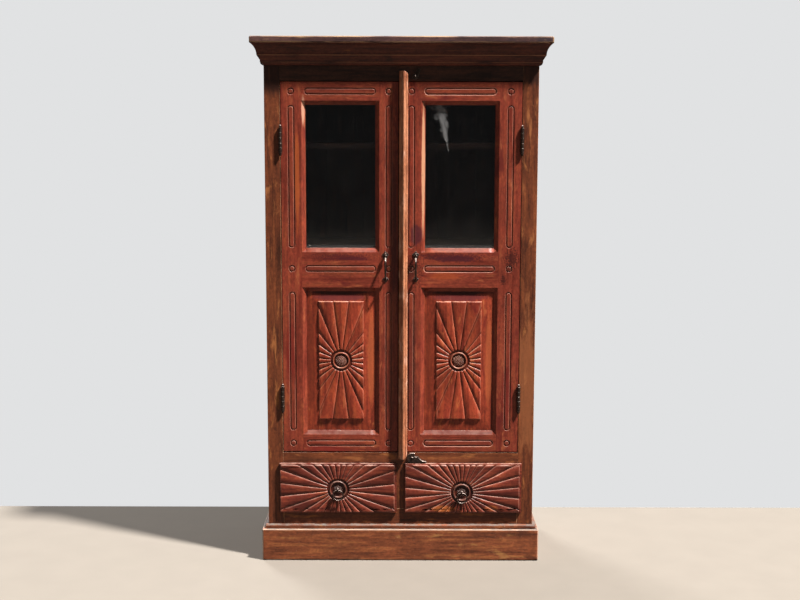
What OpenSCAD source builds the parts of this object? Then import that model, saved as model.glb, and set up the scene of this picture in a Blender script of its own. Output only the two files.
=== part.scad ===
// Hardwood display cabinet: two half-glazed doors with carved sunburst panels
// over two carved drawers, on a plinth and under a cove cornice.
// X runs along the front, Y from the front to the back and Z up. The origin is
// the middle of the footprint at floor level.

/* [Overall] */
// Height of the whole cabinet
total_h = 1700; // [1560:10:1860]
// Width across the outer faces of the corner posts
body_w = 870; // [800:5:960]
// Depth from the front faces of the posts to the back
body_d = 380; // [350:5:440]

/* [Corner posts and rails] */
// Width of a corner post, seen from the front
post_w = 50; // [44:1:58]
// Depth of a front post
front_post_d = 55; // [48:1:64]
// Depth of a back post
back_post_d = 45; // [36:1:54]
// Thickness of the front rails and the drawer divider
rail_t = 30; // [26:1:36]
// Thickness of the side and back rails
side_rail_t = 24; // [20:1:28]
// Width of the divider between the drawers
divider_w = 46; // [40:1:54]
// Height of frieze rail that shows below the cornice
frieze_show = 47; // [40:1:60]
// Height of the rail between doors and drawers
middle_rail_h = 47; // [42:1:60]
// Height of bottom rail that shows above the plinth
bottom_rail_show = 51.5; // [44:0.5:60]
// Height of the side and back lock rails
lock_rail_h = 90; // [70:5:110]
// Length of a tenon
tenon_l = 22; // [16:1:26]
// Thickness of a tenon
tenon_t = 10; // [8:0.5:12]
// Gap round a tenon in its mortise
tenon_fit = 0.2; // [0.1:0.05:0.3]

/* [Cornice and plinth] */
// How far the cornice stands out from the posts
cornice_out = 41; // [34:1:50]
// Height of the cornice with its top board
cornice_h = 89; // [80:1:100]
// Thickness of the top board
top_board_t = 20; // [15:0.5:22]
// Radius of the quarter round at the cornice's foot
ovolo_r = 9.5; // [8:0.5:12]
// Height of the square fillet above the quarter round
cornice_fillet_h = 7; // [5:1:9]
// How far the fillet stands out past the quarter round
cornice_fillet_out = 1; // [0.5:0.5:2]
// Height of the sloping face between the fillet and the cove
cornice_splay_h = 15; // [12:1:18]
// How far the sloping face stands out past the fillet
cornice_splay_out = 9.5; // [7:0.5:12]
// Height of the plinth board
plinth_h = 106; // [90:1:130]
// Thickness of the plinth board
plinth_out = 20; // [17:1:24]
// Height of the moulding on the plinth board
plinth_step_h = 14; // [11:1:18]
// How far the plinth moulding stands out from the posts
plinth_step_out = 12; // [9:1:15]

/* [Doors] */
// Thickness of a door
door_t = 30; // [28:0.5:32]
// How far the doors stand proud of the posts
door_proud = 0.5; // [0.4:0.1:1]
// Gap between a door and its post
door_side_gap = 2; // [1.6:0.1:2.6]
// Gap above the doors
door_top_gap = 3; // [2:0.5:5]
// Gap below the doors
door_bottom_gap = 4; // [3:0.5:6]
// Middle of the gap between the doors
meeting_x = -8; // [-9:0.5:-7]
// Gap between the doors
meeting_gap = 3; // [3:0.2:4]
// Face width of the left door's hinge stile
left_hinge_stile = 65; // [58:0.5:74]
// Face width of the left door's meeting stile
left_meeting_stile = 60.5; // [56:0.5:68]
// Face width of the right door's meeting stile
right_meeting_stile = 70.5; // [66:0.5:76]
// Face width of the right door's hinge stile
right_hinge_stile = 71; // [60:0.5:76]
// Face height of a door's top rail
door_top_rail_h = 59.5; // [52:0.5:68]
// Face height of a door's middle rail
door_middle_rail_h = 114.5; // [105:0.5:130]
// Face height of a door's bottom rail
door_bottom_rail_h = 56.5; // [52:0.5:68]
// Height of the opening that holds the carved panel
panel_open_h = 485; // [430:5:540]
// Width of the chamfer round each opening
chamfer_w = 13; // [10:0.5:15]
// Depth of the chamfer round each opening
chamfer_d = 8; // [6:0.5:9]

/* [Glass] */
// Thickness of the window glass
glass_t = 4; // [3:0.5:5]
// How far the glass laps the frame
glass_lap = 7; // [5:0.5:9]
// Gap round the glass
glass_fit = 0.2; // [0.1:0.05:0.3]
// Depth of the glass rebate from the door's face
glass_inset = 12; // [10:0.5:13]
// Thickness of a glazing bead, front to back
bead_t = 9; // [7:0.5:11]

/* [Carved panels] */
// Thickness of the panel's tongue
panel_tongue_t = 8; // [6:0.5:9]
// Depth of the tongue's groove from the door's face
panel_inset = 10; // [9:0.5:12]
// How far the tongue enters its groove
panel_lap = 8; // [6:0.5:9]
// Gap round the panel's tongue
panel_fit = 0.2; // [0.1:0.05:0.3]
// Width of the panel's bevel at the sides
bevel_side_w = 36.5; // [30:0.5:42]
// Width of the panel's bevel at the top
bevel_top_w = 31; // [24:0.5:40]
// Width of the panel's bevel at the bottom
bevel_bottom_w = 36.5; // [30:0.5:46]
// Rise of the bevel from the tongue to the carved field
bevel_rise = 5.5; // [4:0.5:7]
// Height of the carved field above the bevel
carve_h = 4; // [3:0.5:5]
// Petals round a door's rosette
door_petals = 24; // [16:4:28]
// Outer radius of the ring in the middle of a door's rosette
door_rosette_r = 28.5; // [24:0.5:33]
// Outer radius of the ring in the middle of a drawer's rosette
drawer_rosette_r = 29.5; // [26:0.5:34]
// Width of that ring
rosette_ring_w = 6; // [5:0.5:7]
// Radius of the hatched dome inside the ring
rosette_dome_r = 17.5; // [14:0.5:18]

/* [Routed outlines] */
// Width across a routed outline
rout_w = 22; // [18:1:24]
// Width of the routed line itself
rout_line_w = 4; // [2.4:0.2:4.6]
// Depth of the routed line
rout_d = 2; // [1:0.5:2.5]
// Distance from an outline's end to the end of the opening beside it
rout_end = 14; // [10:1:20]
// Distance from a cross outline's end to the side of the opening
rout_side = 10; // [6:1:14]
// Rise of the middle rail's outline above the rail's middle
rout_mid_rise = 4; // [0:1:8]
// Distance of the outlines from the middle of the right door's meeting stile
strip_rout_shift = 4; // [2:0.5:6]

/* [Cover strip] */
// Width of the strip that covers the gap between the doors
strip_w = 28; // [26:0.5:28]
// How far the strip stands out from the door
strip_out = 26; // [20:0.5:28]
// How far the strip passes the right door's edge into the gap
strip_lap = 0.5; // [0.3:0.1:0.6]
// How far the strip rises above the door
strip_above = 33; // [24:1:38]
// How far the strip drops below the door
strip_below = 21; // [12:1:24]
// Radius of the strip's round corners
strip_corner_r = 14; // [10:1:17]

/* [Hinges] */
// Height of a hinge
hinge_h = 80; // [70:5:110]
// Radius of a hinge knuckle
knuckle_r = 5.25; // [4.5:0.25:6]
// Radius of a hinge pin
hinge_pin_r = 2.5; // [2:0.1:2.8]
// Radial clearance of a pin in its knuckle or a screw in its button
running_fit = 0.06; // [0.03:0.01:0.09]
// Gap left between pieces that move past each other
running_gap = 0.3; // [0.25:0.05:0.4]
// Thickness of a hinge leaf
leaf_t = 2; // [1.6:0.1:2.2]
// Gap between the two closed leaves
leaf_gap = 0.4; // [0.4:0.05:0.6]
// Width of a hinge leaf
leaf_w = 25; // [20:1:26]
// Distance from the door's top to the upper hinge's middle
hinge_from_top = 184; // [120:2:220]
// Distance from the door's bottom to the lower hinge's middle
hinge_from_bottom = 177; // [120:1:200]

/* [Drop pulls] */
// Distance from the meeting stile's edge to the pull, left door
left_pull_in = 40.5; // [36:0.5:42]
// Distance from the meeting stile's edge to the pull, right door
right_pull_in = 53.5; // [50:0.5:56]
// Height of the pull's pivot above the middle of the middle rail
pull_rise = 48; // [40:1:52]
// Length of the pull below its pivot
pull_l = 82; // [70:1:90]
// How far the pull's bar bows out in front of its pivot
pull_bow = 17; // [14:1:20]
// Radius of the pull's bar
pull_bar_r = 3.6; // [2.6:0.2:3.6]
// Radius of the pull's end ball
pull_ball_r = 4.2; // [3.6:0.2:4.6]
// Side of the diamond plate behind the pull's top
pull_plate_w = 16; // [14:1:18]
// Side of the diamond plate behind the pull's ball
stud_plate_w = 14; // [12:1:16]

/* [Drawers] */
// Height of a drawer opening
drawer_open_h = 142; // [130:1:160]
// How far a drawer front laps the posts and rails
drawer_lap = 12; // [9:0.5:13]
// How far a drawer front laps the divider
drawer_lap_mid = 9.5; // [8:0.5:11]
// Thickness of a drawer front's lip with its carving
drawer_lip_t = 12; // [11:0.5:15]
// Thickness of a drawer front behind the lip
drawer_back_t = 14; // [12:0.5:18]
// Thickness of a drawer's sides and back
drawer_side_t = 12; // [10:0.5:14]
// Height of a drawer's sides
drawer_side_h = 122; // [100:1:125]
// Thickness of a drawer's bottom
drawer_bottom_t = 5; // [4:0.5:6]
// Gap between a drawer and the sides of its opening
drawer_gap = 1; // [0.8:0.1:1.5]
// Space behind a closed drawer
drawer_rear_gap = 26; // [15:1:50]
// Petals round the left drawer's rosette
left_drawer_petals = 28; // [20:4:32]
// Petals round the right drawer's rosette
right_drawer_petals = 32; // [20:4:32]
// Drop of the left rosette below the middle of its front
left_rosette_drop = 5; // [0:1:10]
// Drop of the right rosette below the middle of its front
right_rosette_drop = 14; // [8:1:16]
// Distance of the right rosette from the middle of its front
right_rosette_shift = 4; // [0:1:10]
// Height of a drawer's staple above the middle of its rosette
staple_rise = 2; // [0:0.5:5]
// Radius of a drawer ring, to the middle of its wire
ring_r = 17; // [15:0.5:20]
// Radius of a drawer ring's wire
ring_wire_r = 2.2; // [1.8:0.1:2.4]

/* [Turn buttons] */
// Gap between the strip and the bottom button
low_button_in = 1; // [0.6:0.2:3]
// Radius of the bottom button's round end
low_button_r = 16.5; // [14:0.5:16.5]
// Length of the bottom button from its screw to its tip
low_button_l = 45; // [38:1:52]
// Thickness of the bottom button
low_button_t = 8; // [6:0.5:9]
// Radius of the top button's round end
high_button_r = 9; // [8:0.5:10]
// Length of the top button from its screw to its tip
high_button_l = 28; // [20:1:29]
// Lean of the top button away from upright, in degrees
high_button_lean = 30; // [0:5:40]
// Thickness of the top button
high_button_t = 6; // [5:0.5:8]
// Radius of a button's screw
button_screw_r = 2.4; // [2:0.1:3]

/* [Inside] */
// Thickness of the side panels
side_panel_t = 8; // [6:0.5:10]
// Thickness of the back boards
back_board_t = 10; // [8:0.5:12]
// Number of back boards
back_boards_n = 6; // [4:1:8]
// Thickness of the floor above the drawers
floor_t = 14; // [12:1:18]
// Number of shelves
shelf_n = 3; // [2:1:4]
// Thickness of a shelf
shelf_t = 18; // [15:1:22]
// Space between the doors and the shelves
shelf_setback = 15; // [10:1:25]
// Width of a shelf cleat
cleat_w = 20; // [16:1:24]
// Height of a shelf cleat
cleat_h = 25; // [20:1:30]
// Width of a drawer runner
runner_w = 24; // [20:1:28]
// Height of a drawer runner
runner_h = 20; // [16:1:26]
// Height of a drawer guide
guide_h = 20; // [14:1:26]

/* [Hidden] */

// Colours, as the photograph shows them
post_color = "#6e4028";
door_color = "#9c4a30";
drawer_color = "#7c4234";
strip_color = "#be7850";
plinth_color = "#82503a";
cornice_color = "#3c2119";
inside_color = "#4a2e20";
iron_color = "#2a241f";
glass_color = "#9fb4b8";

// Planes of the carcass
half_w = body_w / 2;
front_y = -(body_d + cornice_out) / 2 + cornice_out;
back_y = front_y + body_d;
open_x = half_w - post_w;
back_rail_y = back_y - side_rail_t;
board_y = back_rail_y - back_board_t;
side_in_x = half_w - side_rail_t;

// Step of a carcass tenon from the edges of its rail
tenon_shoulder = 6;

// Levels of the carcass
plinth_top = plinth_h + plinth_step_h;
drawer_z0 = plinth_top + bottom_rail_show;
drawer_z1 = drawer_z0 + drawer_open_h;
floor_z = drawer_z1 + middle_rail_h;
post_top = total_h - top_board_t;
cornice_z0 = total_h - cornice_h;
frieze_z0 = cornice_z0 - frieze_show;
bottom_rail_z0 = plinth_h / 2;

// Doors
door_z0 = floor_z + door_bottom_gap;
door_z1 = frieze_z0 - door_top_gap;
door_y = front_y - door_proud;
door_back_y = door_y + door_t;
panel_z0 = door_z0 + door_bottom_rail_h;
panel_z1 = panel_z0 + panel_open_h;
window_z0 = panel_z1 + door_middle_rail_h;
window_z1 = door_z1 - door_top_rail_h;
mid_rail_z = (panel_z1 + window_z0) / 2;

// A door is [left edge, right edge, left stile, right stile, hinge side]
LEFT_DOOR = [-open_x + door_side_gap, meeting_x - meeting_gap / 2,
    left_hinge_stile, left_meeting_stile, -1];
RIGHT_DOOR = [meeting_x + meeting_gap / 2, open_x - door_side_gap,
    right_meeting_stile, right_hinge_stile, 1];

// Hinges
hinge_x = open_x - door_side_gap / 2;
hinge_y = door_y - knuckle_r - running_gap;
hinge_zs = [door_z0 + hinge_from_bottom, door_z1 - hinge_from_top];
knuckle_n = 5;
knuckle_pitch = hinge_h / knuckle_n;

// Drop pulls: an eye bolt carries the pull's ring
eye_r = 5;
eye_wire_r = 1.6;
pull_ring_r = 5.5;
pull_wire_r = 1.7;
plate_t = 2;
bolt_r = 2.2;
nut_t = 3;
nut_r = 6;
pull_y = door_y - plate_t - eye_r - eye_wire_r - 1;
pull_z = mid_rail_z + pull_rise;
eye_drop = eye_r - eye_wire_r - pull_wire_r - running_gap;
eye_z = pull_z + eye_drop;
stud_z = pull_z - pull_l + pull_ball_r;
stud_r = 4.5;
stud_shank_r = 1.5;
stud_shank_l = 12;
left_pull_x = LEFT_DOOR[1] - left_pull_in;
right_pull_x = RIGHT_DOOR[0] + right_pull_in;

// Drawers: [opening from, opening to, front from, front to, rosette x, rosette z, petals]
lip_z0 = drawer_z0 - drawer_lap;
lip_z1 = drawer_z1 + drawer_lap;
lip_mid_z = (lip_z0 + lip_z1) / 2;
lip_in_x = divider_w / 2 - drawer_lap_mid;
lip_out_x = open_x + drawer_lap;
lip_mid_x = (lip_in_x + lip_out_x) / 2;
LEFT_DRAWER = [-open_x, -divider_w / 2, -lip_out_x, -lip_in_x,
    -lip_mid_x, lip_mid_z - left_rosette_drop, left_drawer_petals];
RIGHT_DRAWER = [divider_w / 2, open_x, lip_in_x, lip_out_x,
    lip_mid_x - right_rosette_shift, lip_mid_z - right_rosette_drop, right_drawer_petals];
lip_back_y = front_y - running_gap;
lip_base_t = drawer_lip_t - carve_h;
lip_base_y = lip_back_y - lip_base_t;
box_z0 = drawer_z0 + running_gap;
box_y1 = board_y - drawer_rear_gap;
drawer_groove_z = 10;
drawer_groove_d = 5;

// Drawer rings hang in a staple
staple_r = 6;
staple_wire_r = 1.9;
dome_h = carve_h + 1.5;
staple_y = lip_base_y - dome_h - staple_r - staple_wire_r;
staple_drop = staple_r - staple_wire_r - ring_wire_r - running_gap;

// Turn buttons
button_boss_r = 6;
button_back_y = door_y - running_gap;
low_button_x = RIGHT_DOOR[0] - strip_lap + strip_w + low_button_in + low_button_r;
low_button_z = lip_z1 + low_button_r + 1.5;
high_button_x = low_button_x + 5;
high_button_z = frieze_z0 + high_button_r + 4;
screw_head_r = 5;
screw_head_h = 3;
screw_l = 20;

// Shelves
shelf_pitch = (post_top - floor_z) / (shelf_n + 1);
shelf_y0 = door_back_y + shelf_setback;

cut = 1;
$fn = 64;

module block(lo, hi) {
    translate(lo) cube(hi - lo);
}

// Draws a piece on the right, or its mirror image on the left
module on_side(side) {
    mirror([side < 0 ? 1 : 0, 0, 0]) children();
}

// Draws a piece on both sides
module both_sides() {
    for (side = [-1, 1]) on_side(side) children();
}

// Turns a flat outline drawn in X and Y so that it faces the front at depth y
module facing_front(y) {
    translate([0, y, 0]) rotate([90, 0, 0]) children();
}

// Ring of round wire, standing in the plane that the module draws it in
module wire_ring(r, wire_r) {
    rotate_extrude() translate([r, 0]) circle(wire_r);
}

// Cap of a ball, rising h from a round foot of radius r
module dome(r, h) {
    ball_r = (r * r + h * h) / (2 * h);
    intersection() {
        translate([0, 0, h - ball_r]) sphere(ball_r);
        translate([-2 * ball_r, -2 * ball_r, 0]) cube(4 * ball_r);
    }
}

// Tenon on the end of a front rail, and its mortise when gap is over zero
module tenon(x0, x1, y_mid, z0, z1, gap = 0) {
    block([x0, y_mid - tenon_t / 2 - gap, z0 - gap], [x1, y_mid + tenon_t / 2 + gap, z1 + gap]);
}

// Rail between the front posts with a tenon at each end
module front_rail(z0, z1) {
    block([-open_x, front_y, z0], [open_x, front_y + rail_t, z1]);
    both_sides() front_rail_tenon(z0, z1);
}

module front_rail_tenon(z0, z1, gap = 0) {
    tenon(open_x - cut, open_x + tenon_l + gap, front_y + rail_t / 2,
          z0 + tenon_shoulder, z1 - tenon_shoulder, gap);
}

// The three front rails' levels
front_rails = [[bottom_rail_z0, drawer_z0], [drawer_z1, floor_z], [frieze_z0, post_top]];

// The side and back frames' rail levels
lock_z0 = mid_rail_z - lock_rail_h / 2;
side_rails = [[bottom_rail_z0, drawer_z0], [drawer_z1, floor_z],
    [lock_z0, lock_z0 + lock_rail_h], [frieze_z0, post_top]];

// Groove line in a post's face for the side panels
module side_panel_groove(gap = 0) {
    for (k = [0 : len(side_rails) - 2])
        block([half_w - side_rail_t / 2 - side_panel_t / 2 - gap,
               front_y + front_post_d - panel_lap - gap, side_rails[k][1] - panel_lap - gap],
              [half_w - side_rail_t / 2 + side_panel_t / 2 + gap,
               back_y - back_post_d + panel_lap + gap, side_rails[k + 1][0] + panel_lap + gap]);
}

module side_rail_tenons(gap = 0) {
    for (r = side_rails)
        block([half_w - side_rail_t / 2 - tenon_t / 2 - gap,
               front_y + front_post_d - tenon_l - gap, r[0] + tenon_shoulder - gap],
              [half_w - side_rail_t / 2 + tenon_t / 2 + gap,
               back_y - back_post_d + tenon_l + gap, r[1] - tenon_shoulder + gap]);
}

// Recess for a hinge leaf, from face x0 to x1
module leaf_recess(x0, x1) {
    for (z = hinge_zs)
        block([x0, door_y - cut, z - hinge_h / 2], [x1, door_y + leaf_w, z + hinge_h / 2]);
}

module front_post(side) {
    color(post_color) on_side(side) difference() {
        block([open_x, front_y, 0], [half_w, front_y + front_post_d, post_top]);
        for (r = front_rails) front_rail_tenon(r[0], r[1], tenon_fit);
        side_rail_tenons(tenon_fit);
        side_panel_groove(panel_fit);
        leaf_recess(open_x - cut, hinge_x + leaf_gap / 2 + leaf_t);
    }
}

module back_posts() {
    color(post_color) both_sides() difference() {
        block([open_x, back_y - back_post_d, 0], [half_w, back_y, post_top]);
        side_rail_tenons(tenon_fit);
        side_panel_groove(panel_fit);
        for (r = side_rails) back_rail_tenon(r[0], r[1], tenon_fit);
    }
}

module frieze_rail() {
    color(post_color) difference() {
        front_rail(frieze_z0, post_top);
        screw_hole(high_button_x, high_button_z);
    }
}

module middle_rail() {
    color(post_color) difference() {
        front_rail(drawer_z1, floor_z);
        screw_hole(low_button_x, low_button_z);
        divider_tenons(tenon_fit);
    }
}

module bottom_rail() {
    color(post_color) difference() {
        front_rail(bottom_rail_z0, drawer_z0);
        divider_tenons(tenon_fit);
    }
}

module divider_tenons(gap = 0) {
    block([-divider_w / 2 + tenon_shoulder - gap, front_y + rail_t / 2 - tenon_t / 2 - gap,
           drawer_z0 - tenon_l - gap],
          [divider_w / 2 - tenon_shoulder + gap, front_y + rail_t / 2 + tenon_t / 2 + gap,
           drawer_z1 + tenon_l + gap]);
}

module drawer_divider() {
    color(post_color) {
        block([-divider_w / 2, front_y, drawer_z0], [divider_w / 2, front_y + rail_t, drawer_z1]);
        divider_tenons();
    }
}

module side_rails_on(side) {
    color(post_color) on_side(side) difference() {
        union() {
            for (r = side_rails)
                block([side_in_x, front_y + front_post_d, r[0]],
                      [half_w, back_y - back_post_d, r[1]]);
            side_rail_tenons();
        }
        side_panel_groove(panel_fit);
    }
}

module side_panels_on(side) {
    color(post_color) on_side(side) side_panel_groove();
}

module back_rail_tenon(z0, z1, gap = 0) {
    tenon(open_x - cut, open_x + tenon_l + gap, back_rail_y + side_rail_t / 2,
          z0 + tenon_shoulder, z1 - tenon_shoulder, gap);
}

module back_rails() {
    color(inside_color) for (r = side_rails) {
        block([-open_x, back_rail_y, r[0]], [open_x, back_y, r[1]]);
        both_sides() back_rail_tenon(r[0], r[1]);
    }
}

// Upright boards nailed to the front of the back rails, half lapped with open joints
module back_boards() {
    joint = 1.5;
    lap = 8;
    mid_y = board_y + back_board_t / 2;
    pitch = 2 * open_x / back_boards_n;
    color(inside_color) for (k = [0 : back_boards_n - 1]) {
        x0 = -open_x + k * pitch + joint / 2;
        x1 = x0 + pitch - joint;
        difference() {
            union() {
                block([x0, board_y, plinth_top], [x1, back_rail_y, post_top]);
                if (k < back_boards_n - 1)
                    block([x1 - cut, mid_y, plinth_top], [x1 + lap, back_rail_y, post_top]);
            }
            if (k > 0)
                block([x0 - cut, mid_y - panel_fit, plinth_top - cut],
                      [x0 + lap, back_rail_y + cut, post_top + cut]);
        }
    }
}

module top_board() {
    color(cornice_color) block([-half_w - cornice_out, front_y - cornice_out, post_top],
                               [half_w + cornice_out, back_y, total_h]);
}

// Cornice section: quarter round, square fillet, sloping face and cove, drawn out from the face
module cornice_section() {
    h = cornice_h - top_board_t;
    fillet_x = ovolo_r + cornice_fillet_out;
    fillet_z = ovolo_r + cornice_fillet_h;
    cove_x = fillet_x + cornice_splay_out;
    cove_z = fillet_z + cornice_splay_h;
    cove_w = cornice_out - cove_x;
    cove_h = h - cove_z;
    cove_r = (pow(cove_w, 2) + pow(cove_h, 2)) / (2 * cove_w);
    intersection() {
        translate([0, ovolo_r]) circle(ovolo_r);
        square([ovolo_r, ovolo_r]);
    }
    translate([0, ovolo_r]) square([fillet_x, cornice_fillet_h]);
    polygon([[0, fillet_z], [fillet_x, fillet_z], [cove_x, cove_z], [cove_x, h], [0, h]]);
    difference() {
        translate([0, cove_z]) square([cornice_out, cove_h]);
        translate([cove_x + cove_r, cove_z]) circle(cove_r, $fn = 128);
    }
}

// Length of cornice along Y from the front mitre, standing out along +X
module cornice_length(from_y, to_y) {
    translate([half_w, to_y, cornice_z0]) rotate([90, 0, 0])
        linear_extrude(to_y - from_y) cornice_section();
}

// Everything behind the mitre plane at the right-hand corner
module behind_mitre() {
    far = body_w + body_d;
    translate([half_w, front_y, 0]) rotate([0, 0, -45]) translate([-far, 0, 0])
        cube([2 * far, 2 * far, total_h]);
}

module cornice_returns() {
    color(cornice_color) both_sides() intersection() {
        cornice_length(front_y - cornice_out, back_y);
        behind_mitre();
    }
}

module cornice_front() {
    far = half_w + cornice_out;
    color(cornice_color) difference() {
        translate([-far, front_y, cornice_z0]) rotate([0, 0, -90]) rotate([90, 0, 0])
            mirror([0, 0, 1]) linear_extrude(2 * far) cornice_section();
        both_sides() behind_mitre();
    }
}

module plinth_front() {
    color(plinth_color) block([-half_w - plinth_out, front_y - plinth_out, 0],
                              [half_w + plinth_out, front_y, plinth_h]);
}

// Side boards butt against the back of the front board
module plinth_returns() {
    color(plinth_color) both_sides()
        block([half_w, front_y, 0], [half_w + plinth_out, back_y, plinth_h]);
}

module plinth_step_section() {
    nose = min(plinth_step_h, plinth_step_out) / 2;
    square([plinth_step_out - nose, plinth_step_h]);
    square([plinth_step_out, plinth_step_h - nose]);
    translate([plinth_step_out - nose, plinth_step_h - nose]) circle(nose);
}

module plinth_moulding() {
    out = half_w + plinth_step_out;
    color(plinth_color) {
        difference() {
            translate([-out, front_y, plinth_h]) rotate([0, 0, -90]) rotate([90, 0, 0])
                mirror([0, 0, 1]) linear_extrude(2 * out) plinth_step_section();
            both_sides() behind_mitre();
        }
        both_sides() intersection() {
            translate([half_w, back_y, plinth_h]) rotate([90, 0, 0])
                linear_extrude(body_d + plinth_step_out) plinth_step_section();
            behind_mitre();
        }
    }
}

module cabinet_floor() {
    color(inside_color) difference() {
        block([-side_in_x, front_y + rail_t, floor_z - floor_t], [side_in_x, board_y, floor_z]);
        both_sides() {
            block([open_x, front_y, 0], [half_w, front_y + front_post_d, total_h]);
            block([open_x, back_y - back_post_d, 0], [half_w, back_y, total_h]);
        }
    }
}

module shelves() {
    color(inside_color) for (k = [1 : shelf_n])
        block([-open_x, shelf_y0, floor_z + k * shelf_pitch],
              [open_x, board_y, floor_z + k * shelf_pitch + shelf_t]);
}

module shelf_cleats() {
    color(inside_color) both_sides() for (k = [1 : shelf_n])
        block([open_x - cleat_w, shelf_y0, floor_z + k * shelf_pitch - cleat_h],
              [open_x, board_y, floor_z + k * shelf_pitch]);
}

// Runners carry the drawers: one each side and a wide one in the middle
module drawer_runners() {
    mid_w = divider_w / 2 + runner_w;
    color(inside_color) {
        block([-mid_w, front_y + rail_t, drawer_z0 - runner_h], [mid_w, board_y, drawer_z0]);
        both_sides() block([open_x - runner_w, front_y + rail_t, drawer_z0 - runner_h],
                           [open_x, board_y, drawer_z0]);
    }
}

// Guides keep the drawers apart below, and kickers keep them level above
module drawer_guides() {
    color(inside_color) {
        block([-divider_w / 2, front_y + rail_t, drawer_z0],
              [divider_w / 2, board_y, drawer_z0 + guide_h]);
        block([-divider_w / 2, front_y + rail_t, drawer_z1],
              [divider_w / 2, board_y, floor_z - floor_t]);
        both_sides() {
            block([open_x, front_y + front_post_d, drawer_z0],
                  [side_in_x, back_y - back_post_d, drawer_z0 + guide_h]);
            block([open_x - runner_w, front_y + rail_t, drawer_z1],
                  [open_x, board_y, floor_z - floor_t]);
        }
    }
}

// Knuckles of one leaf: every second one, from knuckle first
module knuckles(first) {
    for (k = [first : 2 : knuckle_n - 1])
        translate([hinge_x, hinge_y, -hinge_h / 2 + k * knuckle_pitch + running_gap / 2])
            cylinder(h = knuckle_pitch - running_gap, r = knuckle_r);
}

// Leaf plate from x0 to x1, with a tongue to each of its knuckles
module hinge_leaf(x0, x1, first) {
    difference() {
        union() {
            block([x0, door_y, -hinge_h / 2], [x1, door_y + leaf_w, hinge_h / 2]);
            for (k = [first : 2 : knuckle_n - 1])
                translate([0, 0, -hinge_h / 2 + k * knuckle_pitch + running_gap / 2])
                    block([x0, hinge_y, 0], [x1, door_y + cut, knuckle_pitch - running_gap]);
            knuckles(first);
        }
        translate([hinge_x, hinge_y, -hinge_h])
            cylinder(h = 2 * hinge_h, r = hinge_pin_r + running_fit);
    }
}

module post_hinge_leaves() {
    color(iron_color) both_sides() for (z = hinge_zs) translate([0, 0, z])
        hinge_leaf(hinge_x + leaf_gap / 2, hinge_x + leaf_gap / 2 + leaf_t, 0);
}

module door_hinge_leaves(side) {
    color(iron_color) on_side(side) for (z = hinge_zs) translate([0, 0, z])
        hinge_leaf(hinge_x - leaf_gap / 2 - leaf_t, hinge_x - leaf_gap / 2, 1);
}

module hinge_pins() {
    tip_r = knuckle_r - 1;
    color(iron_color) both_sides() for (z = hinge_zs) translate([hinge_x, hinge_y, z]) {
        cylinder(h = hinge_h + 4, r = hinge_pin_r, center = true);
        for (end = [-1, 1]) translate([0, 0, end * (hinge_h / 2 + tip_r)]) sphere(tip_r);
    }
}

// Outline with round ends, w across, from x0 to x1 along X
module slot_shape(x0, x1, w) {
    translate([x0 + w / 2, -w / 2]) square([x1 - x0 - w, w]);
    translate([x0 + w / 2, 0]) circle(w / 2);
    translate([x1 - w / 2, 0]) circle(w / 2);
}

// Line routed along a round-ended outline
module rout(x0, x1) {
    linear_extrude(rout_d + cut) difference() {
        slot_shape(x0, x1, rout_w);
        slot_shape(x0 + rout_line_w, x1 - rout_line_w, rout_w - 2 * rout_line_w);
    }
}

// Routed outlines and buttons on a stile centred at x
module stile_routs(x) {
    facing_front(door_y + rout_d) translate([x, 0, 0]) {
        rotate(90) rout(panel_z0 + rout_end, panel_z1 - rout_end);
        rotate(90) rout(window_z0 + rout_end, window_z1 - rout_end);
        for (z = rail_rout_zs) translate([0, z, 0]) linear_extrude(rout_d + cut) difference() {
            circle(rout_w / 2);
            circle(rout_w / 2 - rout_line_w);
        }
    }
}

rail_rout_zs = [(door_z0 + panel_z0) / 2, mid_rail_z + rout_mid_rise, (window_z1 + door_z1) / 2];

// Block that narrows from an opening's face line to its inner edge
module chamfer_cut(x0, x1, z0, z1) {
    slope = chamfer_w / chamfer_d;
    out = cut * slope;
    intersection() {
        translate([0, 0, z0 - chamfer_w]) linear_extrude(z1 - z0 + 2 * chamfer_w)
            polygon([[x0 - out, door_y - cut], [x1 + out, door_y - cut],
                     [x1 - chamfer_w, door_y + chamfer_d], [x0 + chamfer_w, door_y + chamfer_d]]);
        translate([x0 - chamfer_w, 0, 0]) rotate([90, 0, 90])
            linear_extrude(x1 - x0 + 2 * chamfer_w)
            polygon([[door_y - cut, z0 - out], [door_y - cut, z1 + out],
                     [door_y + chamfer_d, z1 - chamfer_w], [door_y + chamfer_d, z0 + chamfer_w]]);
    }
}

// Face line of a door's openings
function open_from(door) = door[0] + door[2];
function open_to(door) = door[1] - door[3];

// Both chamfers, the glass rebate and the panel groove of a door
module door_openings(door) {
    x0 = open_from(door);
    x1 = open_to(door);
    lap = glass_lap + glass_fit - chamfer_w;
    groove = panel_lap + panel_fit - chamfer_w;
    chamfer_cut(x0, x1, panel_z0, panel_z1);
    chamfer_cut(x0, x1, window_z0, window_z1);
    block([x0 - lap, door_y + glass_inset, window_z0 - lap],
          [x1 + lap, door_back_y + cut, window_z1 + lap]);
    block([x0 - groove, door_y + panel_inset - panel_fit, panel_z0 - groove],
          [x1 + groove, door_y + panel_inset + panel_tongue_t + panel_fit, panel_z1 + groove]);
}

// A door's rails: level of the bottom and top edges at the door's face
door_rails_z = [[door_z0, panel_z0], [panel_z1, window_z0], [window_z1, door_z1]];

// A door's openings: level of the bottom and top edges at the door's face
door_opens_z = [[panel_z0, panel_z1], [window_z0, window_z1]];

module door_tenons(door, gap = 0) {
    inset = 10;
    for (r = door_rails_z)
        tenon(open_from(door) + chamfer_w - tenon_l - gap, open_to(door) - chamfer_w + tenon_l + gap,
              door_y + door_t / 2, r[0] + inset, r[1] - inset, gap);
}

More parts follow.
